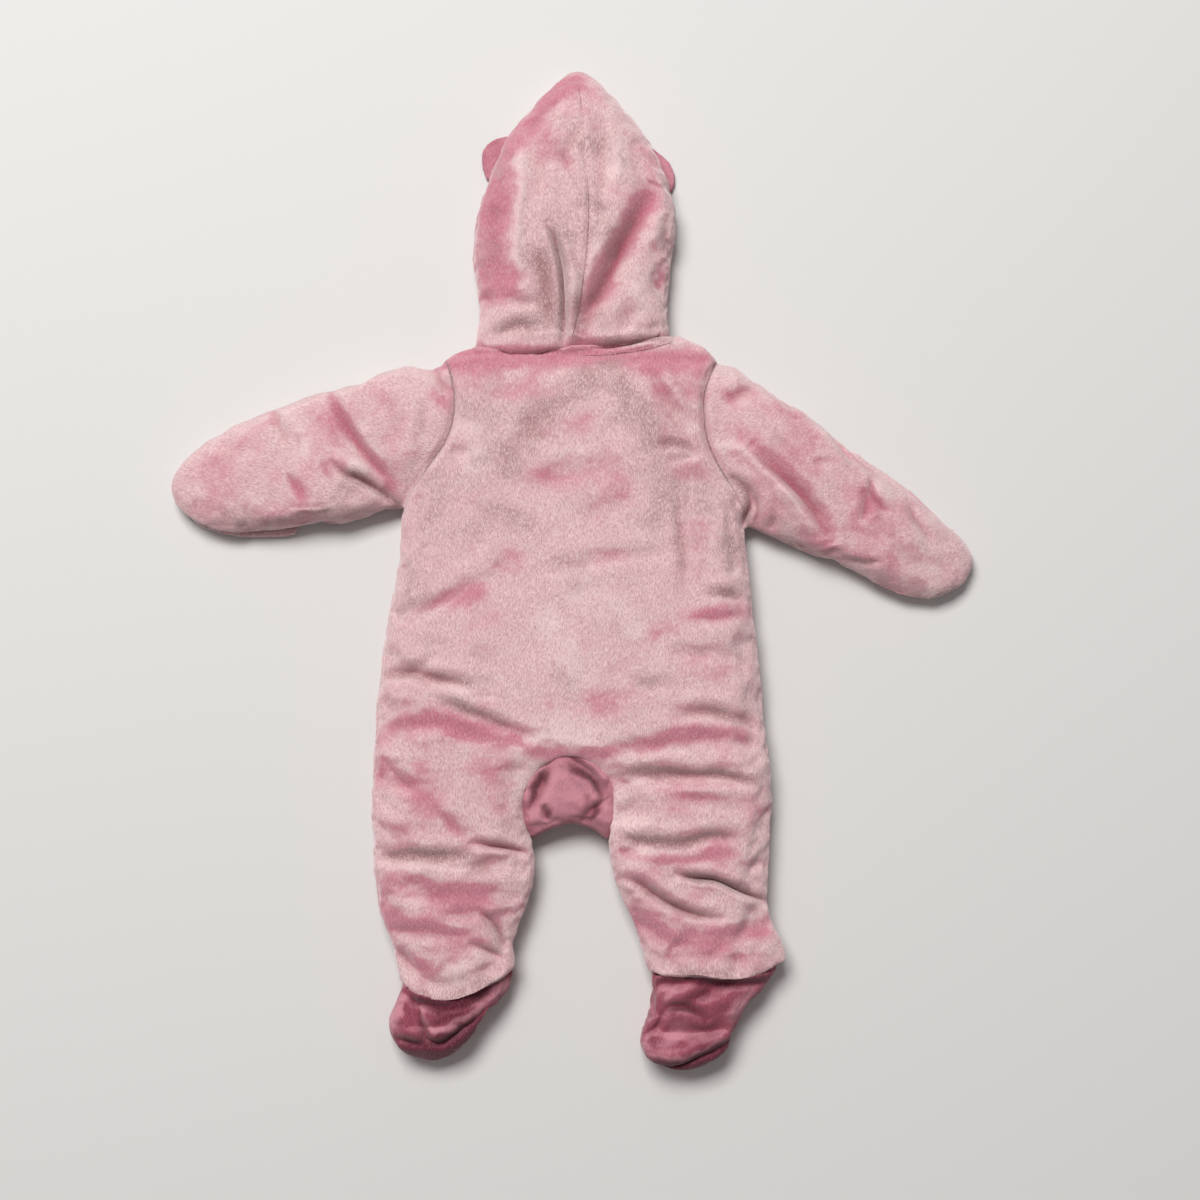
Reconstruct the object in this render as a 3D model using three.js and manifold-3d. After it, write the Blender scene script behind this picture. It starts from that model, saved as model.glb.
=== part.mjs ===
// A baby's padded bunting suit with a hood, feet and fold-over mitts, laid flat on its front.
// Millimetres, +Z up, +Y towards the hood. Every piece is a closed wall of padded cloth, and the
// pieces meet at their seams. The back half of the suit is on top and the front half underneath.
import * as THREE from "three";
import Module from "manifold-3d";
import { mergeVertices } from "three/addons/utils/BufferGeometryUtils.js";

const wasm = await Module();
wasm.setup();

// Driving dimensions
const SEAM_GAP = 0.3;        // left open where two pieces are sewn together
const MID_HEIGHT = 15;       // where the back half of torso, legs and feet lies on the front half
const FRONT_SHARE = 0.46;    // of a sleeve's or the hood's thickness, what is below its side folds
const RIM_WALL = 3;          // height of a panel's edge at the side seam
const SIDE_ROLL = 24;        // how far in from a side seam the padding rounds over
const ZIP_ROLL = 9;          // the same beside the zip
const ZIP_HALF = 7;          // half the gap between the fronts
const SLEEVE_WALL = 10;
const HOOD_WALL = 9;
const MITT_LOFT = 8;
const EAR_LOFT = 6.5;

const CLOTH = { rose: 0xd9a0a6, deepRose: 0xb9636f };
const ZIP_COLOUR = 0xcf8f98;

// A table's rows become objects with a value for each named column.
function table(names, rows) {
  return rows.map((row) => Object.fromEntries(names.map((name, k) => [name, row[k]])));
}

// Outline of the torso, neck to crotch. loft is the thickness of both halves together, and edge
// says how much of it is left at the side: high where a sleeve is sewn on, low at a side seam.
const TORSO = table(["y", "left", "right", "loft", "edge"], [
  [152, -103, 116, 27, 0.8],
  [138, -96, 109, 30, 0.75],
  [120, -93, 104, 32, 0.75],
  [100, -94, 104, 32, 0.75],
  [82, -100, 107, 32, 0.75],
  [64, -112, 115, 32, 0.7],
  [46, -125, 126, 31, 0.6],
  [30, -134, 133, 31, 0.3],
  [0, -135, 138, 32, 0.12],
  [-40, -141, 142, 33, 0.12],
  [-80, -148, 146, 34, 0.12],
  [-125, -151, 150, 35, 0.12],
  [-167, -154, 154, 35, 0.12],
]);

// Each leg, crotch to hem. A row runs from its outer to its inner end, and bow bends its middle
// towards the foot. inside is the edge's height where the gusset or the inner leg seam is.
const LEG_COLUMNS = ["outerX", "outerY", "innerX", "innerY", "bow", "loft", "inside"];
const LEFT_LEG = table(LEG_COLUMNS, [
  [-154, -167, -6, -167, 0, 35, 0.7],
  [-154, -175, -22, -174, 0, 35, 0.65],
  [-154, -188, -33, -186, 0, 35, 0.6],
  [-154, -204, -38, -204, 0, 34, 0.6],
  [-153, -222, -34, -222, 0, 34, 0.5],
  [-152, -240, -28, -240, 0, 33, 0.2],
  [-151, -258, -29, -257, 0, 33, 0.12],
  [-149, -276, -32, -274, -1, 33, 0.12],
  [-142, -294, -39, -290, -3, 32, 0.12],
  [-134, -314, -45, -308, -7, 31, 0.2],
  [-131, -335, -43, -327, -15, 31, 0.3],
]);
const RIGHT_LEG = table(LEG_COLUMNS, [
  [154, -167, 9, -168, 0, 35, 0.7],
  [155, -178, 23, -178, 0, 35, 0.65],
  [155, -190, 32, -190, 0, 35, 0.6],
  [156, -205, 34, -206, 0, 34, 0.6],
  [155, -222, 31, -222, 0, 34, 0.5],
  [153, -240, 30, -240, 0, 33, 0.2],
  [153, -258, 33, -257, 0, 33, 0.12],
  [151, -275, 40, -275, 0, 33, 0.12],
  [154, -291, 50, -294, -1, 32, 0.12],
  [161, -306, 56, -312, -4, 31, 0.2],
  [166, -320, 59, -330, -8, 31, 0.3],
]);

// Seam between hood and neck band, shoulder to shoulder, and how much of the band shows below it.
const NECK = table(["x", "y", "band"], [
  [-103, 152, 0],
  [-78, 163, 2],
  [-56, 160, 2.5],
  [-30, 159, 3.5],
  [0, 162, 5.5],
  [40, 166, 6.5],
  [70, 171, 6.5],
  [86, 172, 4],
  [96, 168, 0],
  [116, 152, 0],
]);

// Sleeves, armhole to fingertip, each row from the sleeve's top edge to its low edge. follow is
// how much of the armhole's curve the section keeps.
const SLEEVE_COLUMNS = ["topX", "topY", "lowX", "lowY", "follow", "loft"];
const LEFT_SLEEVE = table(SLEEVE_COLUMNS, [
  [-103, 151, -135, 34, 1, 30],
  [-118, 145, -143, 33, 0.8, 31],
  [-139, 150, -157, 28, 0.5, 32],
  [-160, 141, -173, 22, 0.3, 32],
  [-188, 133, -194, 18, 0.15, 31],
  [-218, 124, -221, 15, 0.05, 30],
  [-248, 112, -250, 13, -0.05, 29],
  [-279, 96, -276, 14, -0.15, 28],
  [-299, 82, -293, 19, -0.25, 26],
  [-312, 68, -306, 27, -0.25, 23],
  [-318, 54, -315, 38, -0.1, 18],
]);
const RIGHT_SLEEVE = table(SLEEVE_COLUMNS, [
  [116, 151, 133, 20, 1, 30],
  [134, 148, 143, 16, 0.75, 31],
  [151, 134, 155, 11, 0.5, 32],
  [172, 121, 172, 3, 0.3, 32],
  [194, 109, 191, -6, 0.15, 31],
  [213, 90, 213, -16, 0, 30],
  [238, 69, 236, -27, -0.05, 29],
  [262, 53, 258, -35, -0.15, 28],
  [284, 34, 280, -39, -0.25, 26],
  [303, 17, 298, -35, -0.25, 24],
  [314, 5, 310, -27, -0.2, 20],
  [319, -5, 317, -15, -0.1, 16],
]);

// The mitt flap lies under the sleeve from this section to the fingertip, and shows past it by
// reach at the top or the low side.
const MITT_FROM = 5;
const MITT_REACH = { left: { top: -5, low: 3 }, right: { top: 4, low: -5 } };

// Hood, tip to neck: side outlines, centre seam, thickness and the half-width of the face opening.
const HOOD = table(["y", "left", "right", "seam", "loft", "face"], [
  [401, -1, 10, 4, 14, 2],
  [392, -11, 18, 6, 20, 3],
  [380, -22, 30, 7, 25, 5],
  [364, -36, 44, 6, 29, 9],
  [346, -50, 58, 6, 32, 16],
  [326, -62, 69, 8, 34, 25],
  [302, -71, 79, 12, 36, 33],
  [276, -78, 84, 14, 37, 36],
  [250, -81, 82, 13, 37, 36],
  [228, -80, 79, 10, 36, 35],
  [206, -75, 77, 8, 35, 33],
  [188, -75, 76, 5, 33, 31],
  [162, -77, 77, 2, 30, 28],
]);

// Feet, hem to toe. Rows 0 to SOLE_ROWS carry the sole, and the upper runs on around the toe.
const FOOT_COLUMNS = ["outerX", "outerY", "innerX", "innerY", "bow", "loft"];
const SOLE_ROWS = 3;
const LEFT_FOOT = table(FOOT_COLUMNS, [
  [-127, -338, -44, -331, -16, 30],
  [-133, -356, -53, -350, -8, 31],
  [-137, -367, -65, -361, -4, 31],
  [-135, -377, -71, -370, -4, 30],
  [-128, -387, -81, -383, -3, 25],
  [-116, -392, -92, -391, -3, 17],
]);
const RIGHT_FOOT = table(FOOT_COLUMNS, [
  [158, -323.8, 63, -331.4, -6.5, 30],
  [140, -347, 63, -350, -4, 31],
  [129, -364, 59, -366, -2, 31],
  [123, -381, 53, -381, -7, 30],
  [115, -391, 59, -392, -7, 25],
  [101, -400, 77, -400, -2, 17],
]);

// Ears: outline past the hood's side.
const LEFT_EAR = table(["y", "out"], [
  [349, -56],
  [345, -68],
  [337, -75],
  [328, -76],
  [319, -74],
  [311, -71],
]);
const RIGHT_EAR = table(["y", "out"], [
  [340, 64],
  [335, 71],
  [327, 80],
  [318, 84],
  [309, 85],
  [301, 82],
]);
const EAR_TUCK = 9;

// The largest folds, as soft troughs in the upper side.
const FOLDS = table(["fromX", "fromY", "toX", "toY", "depth", "width"], [
  [-146, -103, -78, -110, 3, 9],
  [-96, -122, -32, -150, 2.5, 9],
  [78, -128, 148, -140, 2.5, 9],
  [30, -180, 146, -192, 2.5, 9],
  [-146, -240, -72, -240, 2.5, 9],
  [84, -258, 150, -274, 4, 9],
  [36, -262, 124, -298, 3, 9],
  [-192, 132, -148, 62, 3, 10],
  [-178, 62, -138, 42, 4, 9],
  [112, 68, 138, 34, 4, 9],
  [118, 76, 198, -4, 2.5, 10],
  [252, 46, 284, 4, 2.5, 9],
  [-18, 258, -6, 172, 5, 10],
  [66, 292, 4, 168, 3, 12],
]);

// Values between a table's rows, on a smooth curve through them.
function spread(rows, count) {
  const names = Object.keys(rows[0]);
  return Array.from({ length: count }, (_, i) => {
    const at = (i / (count - 1)) * (rows.length - 1);
    const k = Math.min(Math.floor(at), rows.length - 2);
    const near = [-1, 0, 1, 2].map((step) => rows[Math.min(Math.max(k + step, 0), rows.length - 1)]);
    const value = (name) => curveValue(near.map((row) => row[name]), at - k);
    return Object.fromEntries(names.map((name) => [name, value(name)]));
  });
}

function curveValue([before, start, end, after], t) {
  const slopeStart = (end - before) / 2;
  const slopeEnd = (after - start) / 2;
  const t2 = t * t;
  const t3 = t2 * t;
  return (2 * t3 - 3 * t2 + 1) * start + (t3 - 2 * t2 + t) * slopeStart
    + (3 * t2 - 2 * t3) * end + (t3 - t2) * slopeEnd;
}

const { clamp, lerp, mapLinear, smoothstep } = THREE.MathUtils;
const NECK_LINE = spread(NECK, 49);

// A column of the neck line over x.
function neckAt(x, column) {
  const k = NECK_LINE.findIndex((point) => point.x >= x);
  if (k <= 0) {
    return NECK_LINE[k === 0 ? 0 : NECK_LINE.length - 1][column];
  }
  const [a, b] = [NECK_LINE[k - 1], NECK_LINE[k]];
  return lerp(a[column], b[column], (x - a.x) / (b.x - a.x));
}

// Where a value lies between two rows of a column, as 0 to 1.
function between(a, b, column, value) {
  return clamp((a[column] - value) / (a[column] - b[column]), 0, 1);
}

// Round-over from 0 at an edge to 1 once reach is passed.
function roll(distance, reach) {
  const left = 1 - Math.min(Math.max(distance / reach, 0), 1);
  return Math.sqrt(1 - left * left);
}

// How far the folds press the upper side down. Each is deepest in its middle and fades out at
// its ends.
function foldDepth(x, y) {
  let depth = 0;
  for (const fold of FOLDS) {
    const run = new THREE.Vector2(fold.toX - fold.fromX, fold.toY - fold.fromY);
    const from = new THREE.Vector2(x - fold.fromX, y - fold.fromY);
    const along = clamp(from.dot(run) / run.lengthSq(), 0, 1);
    const away = from.sub(run.multiplyScalar(along)).length() / fold.width;
    depth += fold.depth * Math.exp(-away * away) * Math.sin(Math.PI * lerp(0.15, 0.85, along));
  }
  return depth;
}

// A closed mesh from an outer and an inner grid of points. wrap joins the last column to the
// first, as on a tube; blind leaves the last row of each grid closed on itself, as at a
// fingertip; open(i, j) says which cells are cut away.
function padded(outer, inner, { wrap = false, blind = false, open = () => false } = {}) {
  const rows = outer.length - 1;
  const columns = outer[0].length - (wrap ? 0 : 1);
  const across = outer[0].length;
  const corners = [];
  const isCell = (i, j) => {
    const k = wrap ? (j + columns) % columns : j;
    return i >= 0 && i < rows && k >= 0 && k < columns && !open(i, k);
  };
  const quad = (a, b, c, d) => corners.push(a, b, c, a, c, d);
  for (let i = 0; i < rows; i += 1) {
    for (let j = 0; j < columns; j += 1) {
      if (!isCell(i, j)) {
        continue;
      }
      const k = (j + 1) % across;
      const [o00, o01, o11, o10] = [outer[i][j], outer[i][k], outer[i + 1][k], outer[i + 1][j]];
      const [n00, n01, n11, n10] = [inner[i][j], inner[i][k], inner[i + 1][k], inner[i + 1][j]];
      quad(o00, o01, o11, o10);
      quad(n10, n11, n01, n00);
      if (!isCell(i - 1, j)) {
        quad(o01, o00, n00, n01);
      }
      if (!isCell(i + 1, j) && !(blind && i === rows - 1)) {
        quad(o10, o11, n11, n10);
      }
      if (!isCell(i, j - 1)) {
        quad(o00, o10, n10, n00);
      }
      if (!isCell(i, j + 1)) {
        quad(o11, o01, n01, n11);
      }
    }
  }
  return closedGeometry(corners);
}

// Shared corners are merged, needle triangles dropped, and the faces turned outwards.
function closedGeometry(corners) {
  const places = new Map();
  const positions = [];
  const numbers = corners.map((point) => {
    const key = point.toArray().map((value) => Math.round(value * 1000)).join(" ");
    if (!places.has(key)) {
      places.set(key, positions.length / 3);
      positions.push(point.x, point.y, point.z);
    }
    return places.get(key);
  });
  const index = [];
  let volume = 0;
  for (let t = 0; t < numbers.length; t += 3) {
    const [a, b, c] = numbers.slice(t, t + 3);
    if (a !== b && b !== c && c !== a) {
      index.push(a, b, c);
      volume += corners[t].dot(new THREE.Vector3().crossVectors(corners[t + 1], corners[t + 2]));
    }
  }
  if (volume < 0) {
    index.reverse();
  }
  const geometry = new THREE.BufferGeometry();
  geometry.setAttribute("position", new THREE.Float32BufferAttribute(positions, 3));
  geometry.setIndex(index);
  geometry.computeVertexNormals();
  return geometry;
}

// Columns crowd towards the ends, where the padding rounds over.
function columnPlaces(count) {
  return Array.from({ length: count + 1 }, (_, j) => 0.5 - 0.5 * Math.cos(Math.PI * j / count));
}

const grid = (rows, places, point) => rows.map((row, i) => places.map((t, j) => point(row, t, i, j)));

// ---- Torso and legs

const TORSO_ROWS = 17;
const LEG_ROWS = 12;
const BACK_COLUMNS = 8;      // on each half
const FRONT_COLUMNS = 6;
const LEG_EDGE = 0.12;       // share of a leg's loft left at its outer seam
const NECK_BEND_FROM = 96;   // above this the rows bend towards the neck line
const CENTRE_X = 1.5;        // of the strip between the back's halves
const STRIP_HALF = { low: 7.5, high: 22 };
const ZIP_EDGE = 0.55;       // share of a front's loft left beside the zip
const CROTCH_EASE = 1;       // the fronts part this much more at the crotch
const torso = spread(TORSO, TORSO_ROWS);
const legs = { left: spread(LEFT_LEG, LEG_ROWS), right: spread(RIGHT_LEG, LEG_ROWS) };

// The rows of one half, neck to hem, each from the side seam to an inner edge. inner gives the
// inner edge's x on the torso.
function halfRows(side, innerAt, innerEdge) {
  const upper = torso.map((row) => ({
    outerX: row[side], outerY: row.y, innerX: innerAt(row.y), innerY: row.y,
    bow: 0, loft: row.loft, outside: row.edge, inside: innerEdge,
  }));
  const lower = legs[side].slice(1).map((row) => ({ ...row, outside: LEG_EDGE }));
  return [...upper.slice(0, -1), { ...upper.at(-1), innerY: legs[side][0].innerY }, ...lower];
}

// Plan position of a point of a row, with the neck edge following the neck line.
function rowPoint(row, t, belowBand) {
  const x = lerp(row.outerX, row.innerX, t);
  const straight = lerp(row.outerY, row.innerY, t) + row.bow * 4 * t * (1 - t);
  const nearNeck = smoothstep(straight, NECK_BEND_FROM, TORSO[0].y);
  const neck = neckAt(x, "y") - SEAM_GAP - (belowBand ? neckAt(x, "band") : 0);
  return new THREE.Vector2(x, straight + nearNeck * (neck - TORSO[0].y));
}

// How much of the loft is reached at a point of a row, from the roll-over at both edges.
function fullness(row, t, innerReach) {
  const width = Math.hypot(row.outerX - row.innerX, row.outerY - row.innerY);
  const outer = lerp(row.outside, 1, roll(t * width, SIDE_ROLL));
  const inner = lerp(row.inside, 1, roll((1 - t) * width, innerReach));
  return Math.min(outer, inner);
}

function halfPoints(rows, { innerReach, upper }) {
  const skins = { outer: [], inner: [] };
  const places = columnPlaces(upper ? BACK_COLUMNS : FRONT_COLUMNS);
  for (const row of rows) {
    const plan = places.map((t) => rowPoint(row, t, upper));
    const full = places.map((t) => fullness(row, t, innerReach));
    const rise = row.loft - MID_HEIGHT - RIM_WALL;
    skins.outer.push(plan.map((p, j) => new THREE.Vector3(p.x, p.y, upper
      ? MID_HEIGHT + RIM_WALL + rise * full[j] - foldDepth(p.x, p.y) * full[j]
      : (MID_HEIGHT - RIM_WALL) * (1 - full[j]))));
    const inside = MID_HEIGHT + (upper ? 1 : -1) * SEAM_GAP / 2;
    skins.inner.push(plan.map((p) => new THREE.Vector3(p.x, p.y, inside)));
  }
  return skins;
}

// Back: both halves and the strip between them, cut open below the crotch.
const STRIP_COLUMNS = 2;

function stripHalf(y) {
  return mapLinear(y, TORSO.at(-1).y, TORSO[0].y, STRIP_HALF.low, STRIP_HALF.high);
}

function backSkins() {
  const shape = { innerReach: SIDE_ROLL, upper: true };
  const left = halfPoints(halfRows("left", (y) => CENTRE_X - stripHalf(y), 1), shape);
  const right = halfPoints(halfRows("right", (y) => CENTRE_X + stripHalf(y), 1), shape);
  const join = (skin) => left[skin].map((row, i) => {
    const [a, b] = [row.at(-1), right[skin][i].at(-1)];
    const inner = Array.from({ length: STRIP_COLUMNS - 1 }, (_, k) => (k + 1) / STRIP_COLUMNS);
    const strip = inner.map((share) => a.clone().lerp(b, share));
    return [...row, ...strip, ...right[skin][i].toReversed()];
  });
  return { outer: join("outer"), inner: join("inner") };
}

function backPanel() {
  const open = (i, j) => i >= TORSO_ROWS - 1 && j >= BACK_COLUMNS && j < BACK_COLUMNS + STRIP_COLUMNS;
  const { outer, inner } = backSkins();
  return padded(outer, inner, { open });
}

function frontPanel(side) {
  const sign = side === "left" ? -1 : 1;
  const rows = halfRows(side, () => sign * ZIP_HALF, ZIP_EDGE).map((row, i) => (
    i === TORSO_ROWS - 1 ? { ...row, innerX: sign * (ZIP_HALF + CROTCH_EASE) } : row));
  const reachAt = (i) => (i < TORSO_ROWS ? ZIP_ROLL : SIDE_ROLL);
  const skins = rows.map((row, i) => halfPoints([row], { innerReach: reachAt(i), upper: false }));
  return padded(skins.map((skin) => skin.outer[0]), skins.map((skin) => skin.inner[0]));
}

// Gusset: a pad that fills the notch between the leg halves, rounded at its lower edge.
const GUSSET_ROWS = 7;
const GUSSET_LOW_Y = -229;
const GUSSET_TOP = 27;
const GUSSET_SAG = 11;       // how far the middle of its lower edge is pulled up
const GUSSET_CLEAR = 1.1;
const GUSSET_DROP = 2;       // below the crotch seam
const GUSSET_UNDER = 1;      // its underside stays this far off the floor
const GUSSET_SIDE = 0.5;     // share of its thickness at the leg seams
const GUSSET_LIP = 0.35;     // and at its lower edge

function gusset() {
  const edge = (side, y) => {
    const rows = legs[side];
    const k = Math.max(rows.findIndex((row) => row.innerY <= y), 1);
    const [a, b] = [rows[k - 1], rows[k]];
    return lerp(a.innerX, b.innerX, between(a, b, "innerY", y));
  };
  const topY = legs.right[0].innerY - GUSSET_DROP;
  const rows = Array.from({ length: GUSSET_ROWS }, (_, i) => {
    const down = i / (GUSSET_ROWS - 1);
    const y = lerp(topY, GUSSET_LOW_Y, down);
    return { y, down, left: edge("left", y) + GUSSET_CLEAR, right: edge("right", y) - GUSSET_CLEAR };
  });
  const skin = (height) => grid(rows, columnPlaces(8), (row, t) => {
    const arch = 4 * t * (1 - t);
    const across = lerp(GUSSET_SIDE, 1, arch);
    const down = lerp(GUSSET_LIP, 1, roll(1 - row.down, 0.5));
    const y = row.y + row.down * GUSSET_SAG * arch;
    return new THREE.Vector3(lerp(row.left, row.right, t), y, height(Math.min(across, down)));
  });
  const mid = GUSSET_TOP / 2;
  return padded(
    skin((full) => mid + mid * full),
    skin((full) => mid - (mid - GUSSET_UNDER) * full),
  );
}

// ---- Sleeves and mitts

const ARMHOLE_CLEAR = 1.5;
const SLEEVE_ROWS = 13;
const AROUND = 18;
const ROUND_UPPER = 2.6;
const ROUND_LOWER = 5;
const SIDE_CROWDING = 0.8;   // below 1 a section's points crowd towards its sides
const WALL_LIMIT = 0.7;      // most of a section's width that its walls may take
const HOLLOW_HALF = 0.8;     // half the height of the flat hollow inside a sleeve
const TIP_BULGE = 1.5;
const FOLD_FADE = 4;         // folds fade out where a section rounds over

// The torso's side at a height, straight between its rows.
function torsoSide(side, y) {
  const k = Math.max(torso.findIndex((row) => row.y <= y), 1);
  const [a, b] = [torso[k - 1], torso[k]];
  return lerp(a[side], b[side], between(a, b, "y", y));
}

// Place on a sleeve's section, from s = 1 at its top edge to -1 at its low edge.
function sleevePlan(row, side, s) {
  const { topY, lowY } = side === "left" ? LEFT_SLEEVE[0] : RIGHT_SLEEVE[0];
  const t = (s + 1) / 2;
  const chord = lerp(torsoSide(side, lowY), torsoSide(side, topY), t);
  const curve = torsoSide(side, lerp(lowY, topY, t)) - chord;
  const x = lerp(row.lowX, row.topX, t) + row.follow * curve;
  return new THREE.Vector2(x, lerp(row.lowY, row.topY, t));
}

// Height of a rounded section: 1 in the middle and 0 at its two sides.
const crown = (s, power) => Math.pow(Math.max(1 - Math.pow(Math.abs(s), power), 0), 1 / power);

// Sleeves stop clear of the armhole seam and lie on the floor, or on the mitt flap.
function sleeveRows(side) {
  const rows = spread(side === "left" ? LEFT_SLEEVE : RIGHT_SLEEVE, SLEEVE_ROWS);
  const clear = side === "left" ? -ARMHOLE_CLEAR : ARMHOLE_CLEAR;
  rows[0].topX = torsoSide(side, rows[0].topY) + clear;
  rows[0].lowX = torsoSide(side, rows[0].lowY) + clear;
  return rows.map((row, i) => ({
    ...row,
    floor: (MITT_LOFT + SEAM_GAP) * smoothstep(i, MITT_FROM - 1, MITT_FROM),
  }));
}

function sleeve(side) {
  const rows = sleeveRows(side);
  const angles = Array.from({ length: AROUND }, (_, j) => (2 * Math.PI * j) / AROUND);
  const ring = (row, wall) => angles.map((angle) => {
    const s = Math.sign(Math.cos(angle)) * Math.pow(Math.abs(Math.cos(angle)), SIDE_CROWDING);
    const width = Math.hypot(row.topX - row.lowX, row.topY - row.lowY);
    const plan = sleevePlan(row, side, s * (1 - Math.min(2 * wall / width, WALL_LIMIT)));
    const middle = lerp(row.floor, row.loft, FRONT_SHARE);
    const up = Math.sin(angle) >= 0;
    const outerLift = up ? row.loft - middle : middle - row.floor;
    const lift = wall > 0 ? HOLLOW_HALF : outerLift;
    const z = middle + (up ? 1 : -1) * lift * crown(s, up ? ROUND_UPPER : ROUND_LOWER);
    const pressed = wall === 0 && up ? foldDepth(plan.x, plan.y) * crown(s, FOLD_FADE) : 0;
    return new THREE.Vector3(plan.x, plan.y, z - pressed);
  });
  const outer = rows.map((row) => ring(row, 0));
  const inner = rows.map((row) => ring(row, SLEEVE_WALL));
  const closeOn = (last) => last.reduce((sum, point) => sum.add(point), new THREE.Vector3())
    .multiplyScalar(1 / last.length);
  const tip = closeOn(outer.at(-1));
  tip.x += side === "left" ? -TIP_BULGE : TIP_BULGE;
  outer.push(angles.map(() => tip.clone()));
  inner.splice(-1, 1);
  inner.push(angles.map(() => closeOn(inner.at(-1))), angles.map(() => closeOn(inner.at(-1))));
  return padded(outer, inner, { wrap: true, blind: true });
}

const MITT_ROUND = 3;
const MITT_EDGE = 0.6;       // share of the flap's thickness at its edge
const MITT_LIFT = 2.5;       // how far its edge curls off the floor

function mitt(side) {
  const reach = MITT_REACH[side];
  const rows = sleeveRows(side).slice(MITT_FROM + 1);
  const skin = (height) => grid(rows, columnPlaces(8), (row, t, i) => {
    const taper = 1 - i / rows.length;
    const moved = { ...row, topY: row.topY + reach.top * taper, lowY: row.lowY - reach.low * taper };
    const plan = sleevePlan(moved, side, 1 - 2 * t);
    return new THREE.Vector3(plan.x, plan.y, height(crown(1 - 2 * t, MITT_ROUND)));
  });
  return padded(
    skin((full) => MITT_LOFT * lerp(MITT_EDGE, 1, full)),
    skin((full) => MITT_LIFT * (1 - full)),
  );
}

// ---- Hood and ears

const HOOD_ROWS = 15;
const HOOD_COLUMNS = 12;
const HOOD_ROUND = 3;
const HOOD_WALL_SHARE = 0.44; // most of the half-width or half-height that the wall may take
const HOOD_BEND_FROM = 200;  // below this the rows bend towards the neck line
const FACE_LIMIT = 0.95;     // most of the half-width that the face opening may take
const hood = spread(HOOD, HOOD_ROWS);

const hoodSplit = (row) => row.loft * FRONT_SHARE;

// One section of a hood half: over the crown from the centre seam, round the side and back
// underneath to the edge of the face opening.
function hoodSection(row, side, wall) {
  const sign = side === "left" ? -1 : 1;
  const wide = Math.abs(row[side] - row.seam);
  const thick = Math.min(wall, HOOD_WALL_SHARE * wide, HOOD_WALL_SHARE * hoodSplit(row));
  const reach = wide - thick - SEAM_GAP / 2;
  const last = -Math.acos(Math.pow(Math.min(row.face / reach, FACE_LIMIT), HOOD_ROUND / 2));
  const lowY = HOOD.at(-1).y;
  return Array.from({ length: HOOD_COLUMNS }, (_, j) => {
    const angle = lerp(Math.PI / 2, last, j / (HOOD_COLUMNS - 1));
    const s = Math.pow(Math.max(Math.cos(angle), 0), 2 / HOOD_ROUND);
    const up = angle >= 0;
    const lift = (up ? row.loft - hoodSplit(row) : hoodSplit(row)) - thick;
    const x = row.seam + sign * (SEAM_GAP / 2 + reach * s);
    const bend = smoothstep(-row.y, -HOOD_BEND_FROM, -lowY);
    const y = row.y + bend * (neckAt(x, "y") + SEAM_GAP - lowY);
    const z = hoodSplit(row) + (up ? 1 : -1) * lift * crown(s, HOOD_ROUND);
    const pressed = up && wall === 0 ? foldDepth(x, y) * crown(s, FOLD_FADE) : 0;
    return new THREE.Vector3(x, y, z - pressed);
  });
}

function hoodHalf(side) {
  const skin = (wall) => hood.map((row) => hoodSection(row, side, wall));
  return padded(skin(0), skin(HOOD_WALL));
}

// Height of the hood's underside over a point near its side.
function underHood(side, x, y) {
  const k = Math.max(hood.findIndex((row) => row.y <= y), 1);
  const [a, b] = [hood[k - 1], hood[k]];
  const t = between(a, b, "y", y);
  const row = Object.fromEntries(Object.keys(a).map((name) => [name, lerp(a[name], b[name], t)]));
  const s = Math.abs(x - row.seam) / Math.abs(row[side] - row.seam);
  return hoodSplit(row) * (1 - crown(Math.min(s, 1), HOOD_ROUND));
}

const EAR_CLEAR = 0.9;       // between an ear and the hood above it
const EAR_LEAST = 1.2;       // its thickness where the hood comes lowest
const EAR_TAPER = 0.3;       // share of the thickness lost towards its rim
const EAR_LIFT = 0.8;        // its rim's height off the floor

function ear(side) {
  const sign = side === "left" ? -1 : 1;
  const rows = spread(side === "left" ? LEFT_EAR : RIGHT_EAR, 8);
  const skin = (height) => grid(rows, columnPlaces(5), (row, t) => {
    const k = Math.max(hood.findIndex((section) => section.y <= row.y), 1);
    const [a, b] = [hood[k - 1], hood[k]];
    const sideX = lerp(a[side], b[side], between(a, b, "y", row.y));
    const inner = sideX - sign * EAR_TUCK;
    const x = lerp(inner, Math.max(sign * row.out, sign * sideX + 1) * sign, t);
    const room = Math.min(underHood(side, x, row.y) - EAR_CLEAR, EAR_LOFT);
    return new THREE.Vector3(x, row.y, height(Math.max(room, EAR_LEAST), t));
  });
  return padded(
    skin((room, t) => room * (1 - EAR_TAPER * t * t)),
    skin((room, t) => EAR_LIFT * t * t),
  );
}

// ---- Neck band

const BAND_HEIGHT = 29;
const BAND_END_HEIGHT = 25;
const BAND_LEAST = 1.5;      // it shows where the neck line leaves more than this
const BAND_COLUMNS = 4;
const BAND_ROLL = 3;         // lower at its seams than along its middle

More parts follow.
